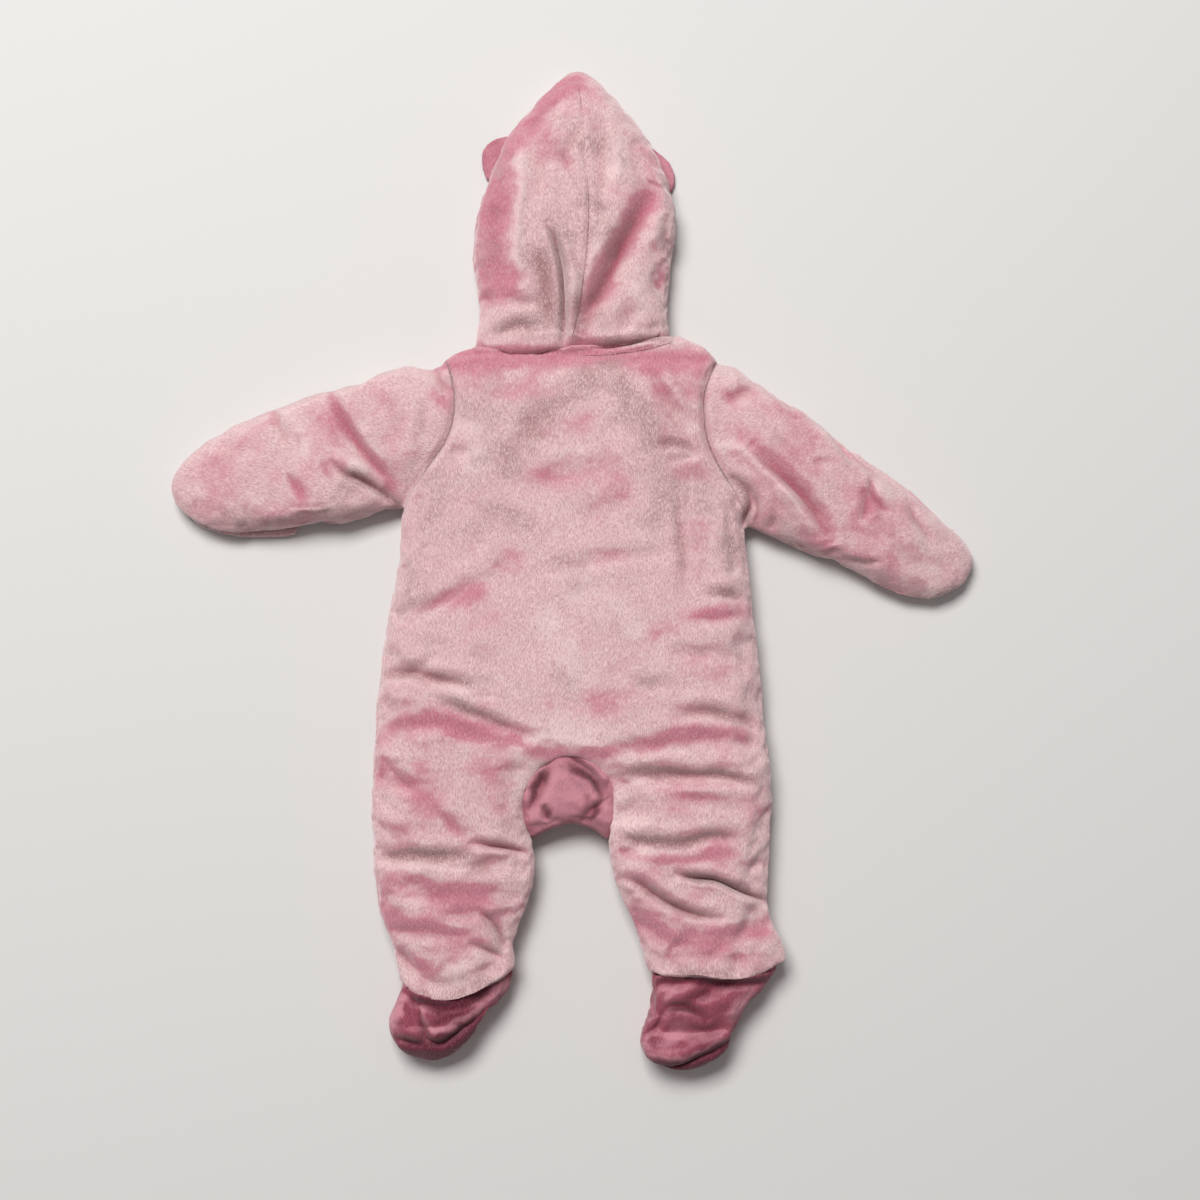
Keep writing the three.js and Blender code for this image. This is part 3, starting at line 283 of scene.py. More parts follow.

# Bands in the pile by colour, brushed rose, painted brown shade and painted pale highlight: how
# strong, how wide, then the points.
ROSE_BANDS = (
    # hood
    (1.2, 17, -60, 330, -63, 294, -65, 267, -65, 240, -58, 213),
    (1, 14, -10, 380, -25, 364, -38, 348, -52, 326),
    (0.6, 10, 8, 384, 20, 368, 33, 352),
    (0.6, 7, -14, 352, -20, 338, -24, 322),
    (0.7, 6, 14, 352, 18, 336, 20, 318),
    (0.8, 10, 6, 376, 4, 386, 0, 392),
    (0.9, 7, -23, 312, -10, 317, -1, 308),
    (0.6, 12, -28, 340, -20, 325, -24, 300),
    (1.3, 11, 4, 172, 15, 194, 26, 214, 37, 238, 49, 262, 64, 292),
    (0.9, 6, 68, 227, 71, 218, 64, 211),
    (0.5, 12, 52, 334, 62, 312, 70, 290),
    # hood, broad
    (0.5, 20, -30, 345, 0, 365, 26, 350),
    # left sleeve
    (1.1, 6.5, *SLEEVE_FOLD_LEFT),
    (0.7, 7, -240, 115, -234, 97, -226, 78),
    (0.9, 5, -225, 57, -217, 44, -210, 37),
    (0.6, 6, -200, 68, -192, 55),
    (0.6, 10, -118, 126, -108, 120, -100, 112),
    (0.4, 11, -296, 50, -280, 44, -262, 42),
    (0.35, 16, -160, 120, -140, 110, -130, 90),
    (0.45, 16, -280, 70, -256, 80, -236, 60),
    # right sleeve
    (0.9, 9, 139, 76, 162, 56, 182, 37, 197, 16, 203, 2),
    (0.7, 18, 130, 120, 160, 104, 190, 84),
    (0.8, 5, 228, 47, 232, 31, 228, 18),
    (0.7, 5, 236, 52, 238, 37, 248, 24),
    (0.5, 12, 212, 66, 222, 48, 214, 24),
    # sleeves and hood, broad
    (0.42, 40, -280, 70, -220, 84, -160, 96),
    (0.5, 40, 140, 100, 190, 60, 250, 10),
    # back, upper
    (0.5, 18, -86, 134, -60, 128, -34, 124),
    (0.6, 9, 66, 140, 68, 118, 72, 98, 70, 76),
    (0.7, 10, 62, 66, 82, 62, 104, 62),
    (0.3, 14, 36, 80, 38, 62, 40, 40),
    (0.5, 10, 86, 134, 98, 124, 102, 108),
    (0.7, 10, 72, 60, 90, 55, 109, 58),
    (0.45, 14, 70, 126, 80, 100, 92, 84),
    (0.25, 16, -34, 44, -8, 58, 24, 62, 50, 57),
    (0.2, 16, 2, 20, 26, 30, 51, 36),
    (0.45, 10, -60, -18, -47, -13, -42, -32),
    (0.8, 8, -62, -33, -80, -42, -99, -51),
    (0.4, 8, 7, -21, 26, -15, 39, -12),
    # back, middle
    (0.8, 6, -130, -62, -112, -52, -94, -42, -74, -34),
    (0.7, 6, -66, -16, -52, -22, -40, -28),
    (0.35, 9, -44, 26, -34, 20, -20, 18),
    (0.3, 9, 4, 14, 20, 26, 44, 30),
    (0.45, 12, 94, 20, 96, -8, 98, -28),
    (0.8, 7, 86, -58, 104, -56, 136, -52),
    (0.6, 8, 46, -94, 58, -78, 68, -68, 80, -66),
    (0.6, 10, 88, -104, 110, -102, 134, -96),
    (0.6, 10, 12, -134, 26, -130, 40, -128),
    (0.5, 6, -20, -122, -18, -136),
    (0.7, 4, -76, -127, -50, -127),
    # over the crotch
    (1.15, 12, -150, -152, -126, -141, -102, -138, -80, -146, -56, -153, -40, -157),
    (1, 7, -100, -140, -80, -146, -56, -153, -36, -159, -16, -164, 0, -166),
    (0.9, 7, -2, -166, 14, -165, 34, -161, 54, -157, 80, -152, 100, -150),
    (1.05, 10, 34, -161, 64, -155, 90, -150, 140, -148),
    (0.5, 9, 88, -158, 110, -156, 132, -152),
    # right leg
    (0.22, 60, 90, -170, 94, -230, 100, -320),
    (0.6, 8, 76, -196, 96, -200, 130, -196),
    (1, 6, 38, -240, 62, -246, 88, -246, 108, -240, 124, -240),
    (0.6, 6, 92, -266, 102, -268, 112, -264),
    (1, 7, 74, -288, 94, -296, 116, -299, 140, -295, 152, -286),
    (0.5, 8, 72, -322, 84, -312, 94, -302),
    # left leg
    (0.22, 60, -90, -170, -96, -230, -92, -330),
    (0.7, 6, -106, -205, -94, -216, -82, -230),
    (1, 7, -150, -260, -130, -257, -114, -262, -96, -270, -76, -269, -58, -267),
    (0.8, 12, -146, -276, -136, -288, -116, -296),
    (0.7, 6, -116, -295, -94, -299, -76, -303, -60, -309),
    (0.6, 5, -122, -318, -116, -328),
    # legs, broad
    (0.75, 14, -142, -178, -124, -192, -104, -208),
    (0.6, 13, -74, -172, -62, -184, -54, -204),
    (0.6, 9, -126, -172, -108, -178),
    (0.45, 16, -140, -216, -120, -226),
    (0.7, 14, -140, -264, -110, -270, -70, -272),
    (0.65, 15, -134, -288, -110, -300, -84, -310),
    (0.5, 12, -120, -318, -110, -326),
    (0.5, 14, 120, -190, 140, -204),
    (0.5, 12, 70, -208, 88, -214),
    (0.65, 12, 44, -246, 80, -250, 120, -242),
    (0.55, 12, 90, -266, 104, -274),
    (0.9, 14, 50, -288, 76, -300, 110, -306, 146, -298),
    (0.5, 12, 80, -318, 120, -316, 150, -310),
    (0.6, 14, -140, -146, -100, -140, -60, -152),
    (0.6, 12, 30, -160, 70, -152, 130, -150),
    (0.45, 16, 90, -100, 124, -98),
    (0.45, 14, 20, -128, 44, -122),
    (0.5, 12, 100, -60, 136, -54),
    (0.5, 14, -30, 100, -10, 92, 10, 96),
    (0.4, 16, -20, 50, 10, 56, 30, 70),
    (0.45, 14, 90, 130, 96, 100),
    (0.4, 12, -100, 60, -92, 46),
    (1, 13, -90, 152, -40, 150, 20, 151, 90, 153),
    (1.1, 13, -104, 148, -80, 146, -60, 143),
    (1.1, 13, 60, 148, 80, 150, 100, 146),
)
# Painted shade: brown bands along creases, under the hood's edge and the hems, on the toes and on
# the pile's shaded side.
SHADE_BROWN_BANDS = (
    # hood
    (0.4, 26, -66, 320, -72, 270, -68, 220),
    (0.45, 9, 4, 178, 14, 198, 25, 218, 36, 242, 47, 264, 58, 286),
    (1.2, 5, -9, 172, -9, 200, -10, 225, -15, 246, -22, 262),
    (0.8, 12, -18, 178, -20, 200, -24, 223, -31, 245),
    (0.5, 12, 44, 320, 50, 300, 48, 284),
    (0.6, 8, -67, 177, -56, 175, -41, 178, -24, 175),
    (0.5, 7, -56, 202, -40, 197, -26, 200),
    (0.5, 8, 22, 300, 22, 280, 20, 262),
    (0.7, 5, 74, 264, 73, 250, 75, 236),
    # hood, broad
    (0.35, 20, -30, 190, 0, 200, 20, 240, 0, 280),
    (0.3, 14, 60, 180, 62, 200, 64, 216),
    (1, 3, 20, 163, 40, 165, 60, 168, 76, 169),
    # left sleeve
    (1, 4, -185, 58, -177, 54, -169, 52, -154, 44, -143, 36, -136, 31),
    (0.5, 10, -290, 22, -250, 20, -210, 24, -170, 34),
    (0.4, 9, -116, 112, -119, 97, -118, 82),
    # right sleeve
    (0.9, 5, 126, 53, 137, 43, 139, 33, 135, 23, 131, 16),
    (0.7, 4, 156, 14, 159, 21, 158, 31),
    (0.3, 10, 150, 84, 168, 76, 182, 68),
    (0.4, 12, 220, -22, 250, -32, 284, -36),
    (0.8, 6, 287, -40, 297, -36, 305, -31),
    # sleeves and hood, broad
    (0.42, 40, -10, 190, 0, 260, 6, 330),
    (0.4, 28, -72, 116, -64, 70, -80, 10),
    (0.4, 26, 74, 120, 70, 70, 84, 20),
    # back, upper
    (0.5, 9, -66, 48, -72, 34, -78, 20),
    (0.7, 7, 36, 118, 48, 108, 58, 96),
    (0.7, 5, 74, 78, 84, 79, 96, 80),
    (0.5, 4, -98, 72, -92, 73),
    (0.7, 18, 30, 140, 2, 124, -19, 106, -36, 86, -50, 64),
    (0.65, 15, 39, 131, 56, 112, 64, 90),
    (0.5, 14, -107, 36, -116, 0, -128, -40),
    (0.5, 12, -76, 16, -58, 34),
    (0.55, 12, 121, 40, 127, 4, 122, -28),
    (0.8, 4, 68, 76, 80, 80, 94, 74),
    (0.6, 7, 80, 44, 82, 20, 86, -8, 88, -32),
    # back, middle
    (0.9, 5, -146, -104, -120, -104, -98, -108, -78, -111),
    (0.6, 5, -104, -122, -84, -130, -62, -139, -40, -149),
    (0.6, 4, -138, -52, -126, -52),
    (0.5, 8, -130, -30, -124, -12, -112, 8),
    (0.7, 5, 106, -40, 118, -40, 130, -45),
    (0.5, 6, 82, -83, 100, -86, 126, -90),
    (0.7, 5, 88, -134, 108, -133, 128, -138, 144, -145),
    (0.4, 6, -90, -66, -108, -74, -122, -78),
    (0.4, 7, 50, -108, 66, -112),
    # right leg
    (1, 5, 30, -180, 60, -178, 94, -180, 122, -181, 144, -188),
    (1, 5, 36, -226, 60, -232, 88, -232, 112, -227, 132, -229),
    (1, 4, 84, -257, 106, -259, 124, -266, 142, -273),
    (0.8, 5, 46, -262, 66, -272, 88, -284, 110, -288),
    # left leg
    (1, 5, -144, -242, -120, -241, -96, -243, -76, -240),
    (0.6, 5, -80, -259, -66, -251, -56, -250),
    (0.6, 4, -64, -287, -56, -298, -50, -311),
    (0.5, 4, -134, -312, -124, -322),
    # legs, broad
    (0.4, 14, 100, 60, 104, 30, 96, 0),
    (0.4, 14, -120, 30, -110, 60, -84, 80),
    (0.45, 16, -84, 104, -60, 96, -50, 70),
    (0.4, 16, -60, 30, -40, 10, -60, -6),
    (0.4, 16, 40, 104, 56, 84, 50, 60),
    (0.35, 18, -110, -20, -116, -40),
    (0.3, 20, 0, -30, 30, -80, 0, -110),
    # gusset
    (0.8, 4, -4, -171, 5, -177, 15, -186, 22, -194, 26, -202),
    (0.9, 4, 22, -205, 18, -211, 12, -216),
    (0.8, 5, -17, -174, -24, -184, -30, -196, -35, -208),
    (0.8, 4, -20, -206, -19, -214),
    (0.5, 3, -12, -214, -2, -216, 6, -216),
    # left foot
    (1, 8, -122, -346, -106, -352, -90, -353, -72, -347, -56, -338),
    (0.6, 9, -104, -360, -92, -364, -80, -358),
    (1.8, 10, -130, -388, -112, -390, -96, -388, -82, -380, -68, -369),
    # right foot
    (1, 7, 68, -336, 86, -333, 108, -334, 130, -335, 150, -330),
    (0.55, 7, 84, -353, 96, -348, 108, -342),
    (0.9, 4, 100, -364, 90, -358, 78, -357, 70, -360),
    (1.7, 8, 60, -400, 74, -403, 90, -401, 106, -393, 122, -384),
    (0.35, 10, 88, -384, 104, -378, 112, -372),
)
# Painted highlight: pale bands along ridges, lit rims and toe edges, and over the gusset.
PALE_HIGHLIGHT_BANDS = (
    # hood
    (0.8, 4, -22, 360, -32, 345, -36, 325),
    (0.7, 3, -8, 366, -14, 345, -18, 330),
    (1.1, 4.5, -45, 337, -43, 312, -42, 285, -45, 258, -46, 231, -41, 209),
    (0.8, 7, 34, 351, 36, 335, 35, 312, 31, 285),
    (0.9, 5, 25, 262, 18, 240, 14, 214, 6, 190),
    (0.8, 5, 0, 176, 1, 200, 2, 220),
    (0.6, 12, 50, 180, 56, 196, 50, 214),
    (0.5, 12, 64, 280, 72, 260, 66, 240),
    # left sleeve
    (0.9, 5, -206, 94, -190, 78, -182, 66, -169, 60, -154, 50, -136, 39),
    (0.5, 12, -220, 100, -210, 80, -214, 60),
    # right sleeve
    (0.9, 6, *SLEEVE_ROLL_RIGHT),
    (0.6, 4, 240, 52, 242, 38, 252, 26),
    (0.5, 14, 250, 0, 270, -14, 286, -24),
    # back, upper
    (0.5, 9, -20, 84, -4, 74, 16, 66, 30, 50),
    (0.5, 6, 80, 108, 90, 96, 100, 90),
    (0.5, 14, -86, 96, -74, 80, -80, 60),
    # back, middle
    (0.5, 16, -20, -62, 0, -80, 10, -100),
    (0.5, 16, 10, -40, 30, -50, 44, -62),
    # right leg
    (0.8, 4, 100, -291, 118, -294, 138, -289, 150, -281),
    # left leg
    (0.6, 7, -126, -274, -112, -277, -98, -281),
    (0.7, 9, -104, -318, -90, -328, -76, -326),
    # gusset
    (2, 30, -8, -180, 0, -194, 2, -212),
    # left foot
    (0.8, 5, -128, -350, -134, -362, -136, -372),
    (0.8, 2.5, -112, -356, -108, -368, -102, -375, -94, -372, -80, -364, -62, -352),
    (0.7, 5, -70, -352, -58, -344, -48, -336),
    (0.5, 3, -124, -390, -109, -393, -96, -391),
    # right foot
    (0.5, 7, 72, -346, 76, -350),
    (0.55, 7, 74, -366, 84, -370, 74, -382, 64, -386),
    (0.5, 5, 140, -340, 130, -352, 122, -362),
    (0.5, 6, 56, -380, 54, -388),
    (0.7, 2.5, 60, -390, 72, -394, 88, -392, 100, -386, 114, -380),
)
# Rose is the brushed pile's own colour; brown is painted shade and pale is painted highlight.
ROSE, SHADE_BROWN, PALE_HIGHLIGHT = range(3)
BANDS = {ROSE: ROSE_BANDS, SHADE_BROWN: SHADE_BROWN_BANDS, PALE_HIGHLIGHT: PALE_HIGHLIGHT_BANDS}


# ---------------------------------------------------------------- settings

def colour(name, description, value):
    """A colour that a user may change."""
    return FloatVectorProperty(
        name=name, description=description, subtype="COLOR", size=3, min=0, max=1, default=value)


def length(name, description, millimetres):
    """A length that a user may change."""
    return FloatProperty(
        name=name, description=description, unit="LENGTH", min=0, default=millimetres * MM)


class PlushLook(PropertyGroup):
    """Colours of the pile, with its painted shade and painted highlights."""

    body: colour("Body", "Pile where it lies flat", (0.68, 0.44, 0.46))
    # Painted highlight on ridges, lit rims and the pile's tips.
    pale_highlight: colour("Pale", "Pile brushed towards the light", (0.85, 0.64, 0.64))
    rose: colour("Rose", "Pile brushed away from the light", (0.52, 0.155, 0.222))
    # Painted shade, in hollows, under hems and on the pile's shaded side.
    brown_shade: colour("Brown", "Pile parted in a hollow", (0.40, 0.235, 0.242))
    deep: colour("Deep rose", "Feet, gusset and ears", (0.30, 0.068, 0.105))
    # Painted highlight on the feet, gusset and ears.
    deep_highlight: colour("Deep rose light", "Feet, gusset and ears where brushed", (0.66, 0.30, 0.36))
    sheen: FloatProperty(
        name="Sheen", description="Soft glow of the pile at grazing angles",
        subtype="FACTOR", min=0, max=1, default=0.8)
    pile: length("Pile", "How far the pile stands up", 1.2)


class PaddingLook(PropertyGroup):
    """How the padding is worked out."""

    fine: length("Fine grid", "Grid of the large padded pieces", 3.45)
    coarse: length("Coarse grid", "Grid of the pieces underneath", 4.4)
    small: length("Small grid", "Grid of the small padded pieces", 2.4)
    pressure: FloatProperty(
        name="Pressure", description="Pressure of the filling on the cloth", min=0, default=4.0)
    steps: IntProperty(
        name="Steps", description="Simulation steps", subtype="UNSIGNED", min=1, default=20)
    slack: FloatProperty(
        name="Slack", description="Share by which the cloth is cut too large",
        subtype="FACTOR", min=0, max=0.3, default=0.04)


class StageLook(PropertyGroup):
    """Floor, light and camera."""

    floor: colour("Floor", "Pale floor", (0.70, 0.69, 0.675))
    key: FloatProperty(name="Key", description="Power of the soft light", unit="POWER", default=168)
    fill: FloatProperty(name="Fill", description="Strength of the surrounding light", default=0.22)
    focal: FloatProperty(
        name="Focal length", description="Of the camera", subtype="DISTANCE_CAMERA", default=54)
    tilt: FloatProperty(
        name="Tilt", description="Of the camera from straight down", subtype="ANGLE",
        default=math.radians(8.7))
    distance: length("Distance", "From the camera to what it aims at", 1440)


def settings():
    """The scene's settings for this object."""
    return bpy.context.scene.plush_suit


class SuitSettings(PropertyGroup):
    """All settings of the suit."""

    plush: PointerProperty(type=PlushLook)
    padding: PointerProperty(type=PaddingLook)
    stage: PointerProperty(type=StageLook)


# ---------------------------------------------------------------- mesh helpers

def get_points(mesh):
    """Vertex places of a mesh, in millimetres."""
    flat = np.empty(len(mesh.vertices) * 3, np.float32)
    mesh.vertices.foreach_get("co", flat)
    return flat.reshape(-1, 3).astype(float) / MM


def set_points(mesh, points):
    """Moves the vertices of a mesh to places in millimetres."""
    mesh.vertices.foreach_set("co", (points * MM).astype(np.float32).ravel())
    mesh.update()


def get_normals(mesh):
    """Vertex normals of a mesh."""
    flat = np.empty(len(mesh.vertices) * 3, np.float32)
    mesh.vertex_normals.foreach_get("vector", flat)
    return flat.reshape(-1, 3).astype(float)


def get_edges(mesh):
    """Vertex numbers of each edge."""
    flat = np.empty(len(mesh.edges) * 2, np.int32)
    mesh.edges.foreach_get("vertices", flat)
    return flat.reshape(-1, 2)


def relax(points, edges, rounds):
    """Evens out the points by moving each halfway to the mean of its neighbours."""
    count = len(points)
    ends = np.concatenate([edges[:, 0], edges[:, 1]])
    others = np.concatenate([edges[:, 1], edges[:, 0]])
    valence = np.bincount(ends, minlength=count)[:, None].clip(1)
    for _ in range(rounds):
        sums = np.stack([np.bincount(ends, points[others, k], count) for k in range(3)], 1)
        points = points + 0.5 * (sums / valence - points)
    return points


def welded_copy(name, nodes):
    """A new object whose mesh is the welded copy of one or more CAD nodes'."""
    mesh = bpy.data.meshes.new(name)
    form = bmesh.new()
    for node in nodes:
        form.from_mesh(NODES[node].data)
    bmesh.ops.remove_doubles(form, verts=form.verts, dist=WELD)
    if len(nodes) > 1:
        form.normal_update()
        for vert in form.verts:
            vert.co += vert.normal * JOIN * MM
    form.to_mesh(mesh)
    form.free()
    piece = bpy.data.objects.new(name, mesh)
    bpy.context.scene.collection.objects.link(piece)
    return piece


def make_real(piece):
    """Applies the piece's modifiers to its mesh."""
    graph = bpy.context.evaluated_depsgraph_get()
    mesh = bpy.data.meshes.new_from_object(piece.evaluated_get(graph))
    old = piece.data
    piece.modifiers.clear()
    piece.data = mesh
    bpy.data.meshes.remove(old)


def remesh(piece, size):
    """Gives the piece an even grid of faces."""
    step = piece.modifiers.new("Grid", "REMESH")
    step.mode = "VOXEL"
    step.voxel_size = size
    make_real(piece)


def thin(piece, chosen):
    """Leaves few faces over the chosen points, which nothing shows."""
    group = piece.vertex_groups.new(name="thin")
    group.add([int(number) for number in np.flatnonzero(chosen)], 1.0, "REPLACE")
    step = piece.modifiers.new("Thin", "DECIMATE")
    step.ratio = 1 - chosen.mean() * (1 - HIDDEN_KEPT)
    step.vertex_group = group.name
    make_real(piece)


def refine(piece):
    """One round of subdivision, made real."""
    step = piece.modifiers.new("Fine", "SUBSURF")
    step.levels = step.render_levels = 1
    make_real(piece)


def shade_smooth(mesh):
    """Smooth shading all over."""
    mesh.polygons.foreach_set("use_smooth", np.ones(len(mesh.polygons), bool))


# ---------------------------------------------------------------- fields

def hashed(cells, seed):
    """A fixed random value from -1 to 1 for each whole-number cell."""
    mixed = seed * 2654435761
    for axis, prime in enumerate((73856093, 19349663, 83492791)):
        mixed = mixed ^ cells[:, axis] * prime
    mixed = (mixed ^ mixed >> 13) * 1274126177 & 0x7FFFFFFF
    return (mixed ^ mixed >> 16) % 65536 / 32767.5 - 1


def noise(points, size, seed):
    """Smooth noise from -1 to 1 whose lumps are size apart."""
    place = points / size
    cell = np.floor(place).astype(np.int64)
    part = place - cell
    part = part * part * (3 - 2 * part)
    total = np.zeros(len(points))
    for corner in itertools.product((0, 1), repeat=3):
        weight = np.prod(np.where(corner, part, 1 - part), axis=1)
        total += weight * hashed(cell + np.array(corner), seed)
    return total


def ease(value, start, end):
    """0 before start, 1 past end and smooth between."""
    part = np.clip((value - start) / (end - start), 0, 1)
    return part * part * (3 - 2 * part)


def bell(value, middle=0.0, width=1.0):
    """A smooth bump that is 1 at its middle."""
    return np.exp(-((value - middle) / width) ** 2)


def pairs(numbers):
    """A table row's x, y, x, y as points."""
    return np.array(numbers, float).reshape(-1, 2)


def curve_through(points):
    """Points on a smooth curve through the given ones."""
    ends = [points[0], *points, points[-1]]
    curve = []
    for before, start, end, after in zip(ends, ends[1:], ends[2:], ends[3:]):
        slope_in, slope_out = (end - before) / 2, (after - start) / 2
        for t in np.arange(CURVE_STEPS) / CURVE_STEPS:
            curve.append((2 * t**3 - 3 * t**2 + 1) * start + (t**3 - 2 * t**2 + t) * slope_in
                         + (3 * t**2 - 2 * t**3) * end + (t**3 - t**2) * slope_out)
    return np.array([*curve, points[-1]])


def from_curve(places, points):
    """Distance from a curve, its side (1 left, -1 right), the share of its length passed and the
    way to the left, for each place."""
    curve = curve_through(points)
    steps = np.diff(curve, axis=0)
    lengths = np.hypot(*steps.T)
    passed = np.concatenate([[0], np.cumsum(lengths)]) / lengths.sum()
    gap = np.full(len(places), 1e9)
    side = np.ones(len(places))
    share = np.zeros(len(places))
    left = np.zeros((len(places), 2))
    for start, step, size, at, onward in zip(curve, steps, lengths, passed, passed[1:]):
        offset = places - start
        t = np.clip(offset @ step / size**2, 0, 1)
        off = offset - t[:, None] * step
        distance = np.hypot(*off.T)
        nearer = distance < gap
        gap = np.where(nearer, distance, gap)
        side = np.where(nearer, np.sign(step[0] * off[:, 1] - step[1] * off[:, 0]), side)
        share = np.where(nearer, at + t * (onward - at), share)
        left[nearer] = np.array([-step[1], step[0]]) / size
    return gap, side, share, left


def near_lines(table, heads, places, reach):
    """For each row of a table whose line passes near some of the places: its first numbers, those
    places' numbers and what from_curve gives for them. reach says how near, from the row's first
    numbers."""
    for row in table:
        head, path = row[:heads], pairs(row[heads:])
        low, high = path.min(0) - reach(*head), path.max(0) + reach(*head)
        chosen = np.flatnonzero(np.all((places > low) & (places < high), axis=1))
        if len(chosen):
            yield *head, chosen, *from_curve(places[chosen], path)


def press_creases(points, upward):
    """Moves upper-side points for the creases. upward is 1 on the upper side and 0 below."""
    moved = points.copy()
    wobble = noise(points, 14, 5)
    rows = near_lines(CREASES, 4, points[:, :2], lambda depth, width, *_: 5 * width)
    for depth, width, ridge, lean, chosen, gap, side, share, left in rows:
        ridge *= RIDGE_SHARE
        fade = 1 - np.abs(2 * share - 1) ** 2.5
        fade = np.maximum(fade, 0.25 * (share > 0) * (share < 1)) * (1 + 0.3 * wobble[chosen])
        fade *= upward[chosen]
        across = gap * side / width
        height = (-depth * bell(across) + ridge * bell(across, 1.9, 1.2)
                  + 0.5 * ridge * bell(across, -2.0, 1.3))
        moved[chosen, 2] += height * fade
        shift = -lean * bell(across, 0.9, 0.9) * fade
        moved[chosen, :2] += left * shift[:, None]
    return moved


def crease_shade_depth(points, upward):
    """How far down in a crease each point lies, from 0 to 1: the strength of the painted shade
    there.
    """
    deep = np.zeros(len(points))
    troughs = [row for row in CREASES if row[0] > 0]
    rows = near_lines(troughs, 4, points[:, :2], lambda depth, width, *_: 2.5 * width)
    for depth, width, _, _, chosen, gap, _, share, _ in rows:
        fall = bell(gap, 0, 0.62 * width) * (1 - np.abs(2 * share - 1) ** 2.5)
        deep[chosen] = np.maximum(deep[chosen], min(depth / FULL_SHADE_DEPTH, 1) * fall * upward[chosen])
    return deep


def nap_and_shading_bands(points, upward):
    """Strength of the brushed rose, the painted brown shade and the painted pale highlight at each
    point.
    """
    warp = np.stack([noise(points, 11, seed) for seed in (21, 22)], 1)
    warp += 0.5 * np.stack([noise(points, 5, seed) for seed in (23, 24)], 1)
    places = points[:, :2] + 2.2 * warp
    strength = np.zeros((len(points), 3))
    for channel, table in BANDS.items():
        rows = near_lines(table, 2, places, lambda amount, width: 2 * width)
        for amount, width, chosen, gap, _, share, _ in rows:
            fall = bell(gap, 0, width) * amount * upward[chosen]
            if width < NARROW:
                fall *= 1 - 0.55 * np.abs(2 * share - 1) ** 3
            strength[chosen, channel] = np.maximum(strength[chosen, channel], fall)
    return strength


def seam_gap(points, upward):
    """Distance from the nearest seam, negative on its right; it grows at a seam's ends."""
    found = np.full(len(points), NO_SEAM)
    for width, chosen, gap, side, share, _ in near_lines(SEAMS, 1, points[:, :2], lambda width: 8):
        past_end = (share <= 0) | (share >= 1)
        gap += 3 * np.abs(2 * share - 1) ** 16
        gap += NO_SEAM * (1 - upward[chosen] + past_end)
        gap /= width
        closer = gap < np.abs(found[chosen])
        found[chosen] = np.where(closer, gap * side, found[chosen])
    return found


# ---------------------------------------------------------------- materials

class Socket:
    """An output socket, or a number, that Python operators join with Math nodes."""

    def __init__(self, graph, source):
        self.graph = graph
        self.source = source

    def math(self, operation, *others):
        """A Math node on this value and the others."""
        return self.graph.add(
            "ShaderNodeMath", {"operation": operation}, dict(enumerate([self, *others])))

    def __add__(self, other):
        return self.math("ADD", other)

    def __radd__(self, other):
        return self.math("ADD", other)

    def __sub__(self, other):
        return self.math("SUBTRACT", other)

    def __rsub__(self, other):
        return Socket(self.graph, other).math("SUBTRACT", self)

    def __mul__(self, other):
        return self.math("MULTIPLY", other)

    def __rmul__(self, other):
        return self.math("MULTIPLY", other)


class Graph:
    """Builds a material's nodes."""

    def __init__(self, name):
        self.material = bpy.data.materials.new(name)
        self.material.use_nodes = True
        self.nodes = self.material.node_tree.nodes
        self.links = self.material.node_tree.links
        self.nodes.clear()

    def add(self, kind, options=None, inputs=None, output=0):
        """A node with its settings and its sockets' values or links; gives one output."""
        node = self.nodes.new(kind)
        for key, value in (options or {}).items():
            setattr(node, key, value)
        for key, value in (inputs or {}).items():
            if isinstance(value, Socket):
                value = value.source
            if isinstance(value, bpy.types.NodeSocket):
                self.links.new(value, node.inputs[key])
            else:
                node.inputs[key].default_value = value
        return Socket(self, node.outputs[output]) if node.outputs else node

    def attribute(self, name, output="Vector"):
        """A mesh attribute."""
        return self.add("ShaderNodeAttribute", {"attribute_name": name}, output=output)

    def stretch(self, vector, scale, offset=(0, 0, 0)):
        """A vector times a scale, moved."""
        return self.add("ShaderNodeVectorMath", {"operation": "MULTIPLY_ADD"},
                        {0: vector, 1: scale, 2: offset})

    def shift(self, vector, other, amount):
        """A vector moved by amount times another, which is centred on 0.5."""
        centred = self.add("ShaderNodeVectorMath", {"operation": "SUBTRACT"},
                           {0: other, 1: (0.5, 0.5, 0.5)})
        scaled = self.add("ShaderNodeVectorMath", {"operation": "SCALE"},
                          {0: centred, "Scale": amount})
        return self.add("ShaderNodeVectorMath", {"operation": "ADD"}, {0: vector, 1: scaled})

    def noise(self, vector, scale, detail=2.0, roughness=0.5, output="Fac"):
        """A noise texture."""
        return self.add("ShaderNodeTexNoise", {"noise_dimensions": "3D"},
                        {"Vector": vector, "Scale": scale, "Detail": detail,
                         "Roughness": roughness}, output)

    def mix(self, factor, first, second, blend="MIX"):
        """Two colours mixed."""
        return self.add("ShaderNodeMix", {"data_type": "RGBA", "blend_type": blend},
                        {0: factor, 6: first, 7: second}, 2)

    def between(self, value, low, high):
        """A value's place from low to high, kept from 0 to 1."""
        return self.add("ShaderNodeMapRange", {"interpolation_type": "SMOOTHSTEP"},
                        {"Value": value, "From Min": low, "From Max": high})

    def finish(self, shader):
        """Links the surface."""
        self.add("ShaderNodeOutputMaterial", {}, {"Surface": shader})
        return self.material


def rgba(value):
    """A colour property as a socket's value."""
    return (*value, 1)


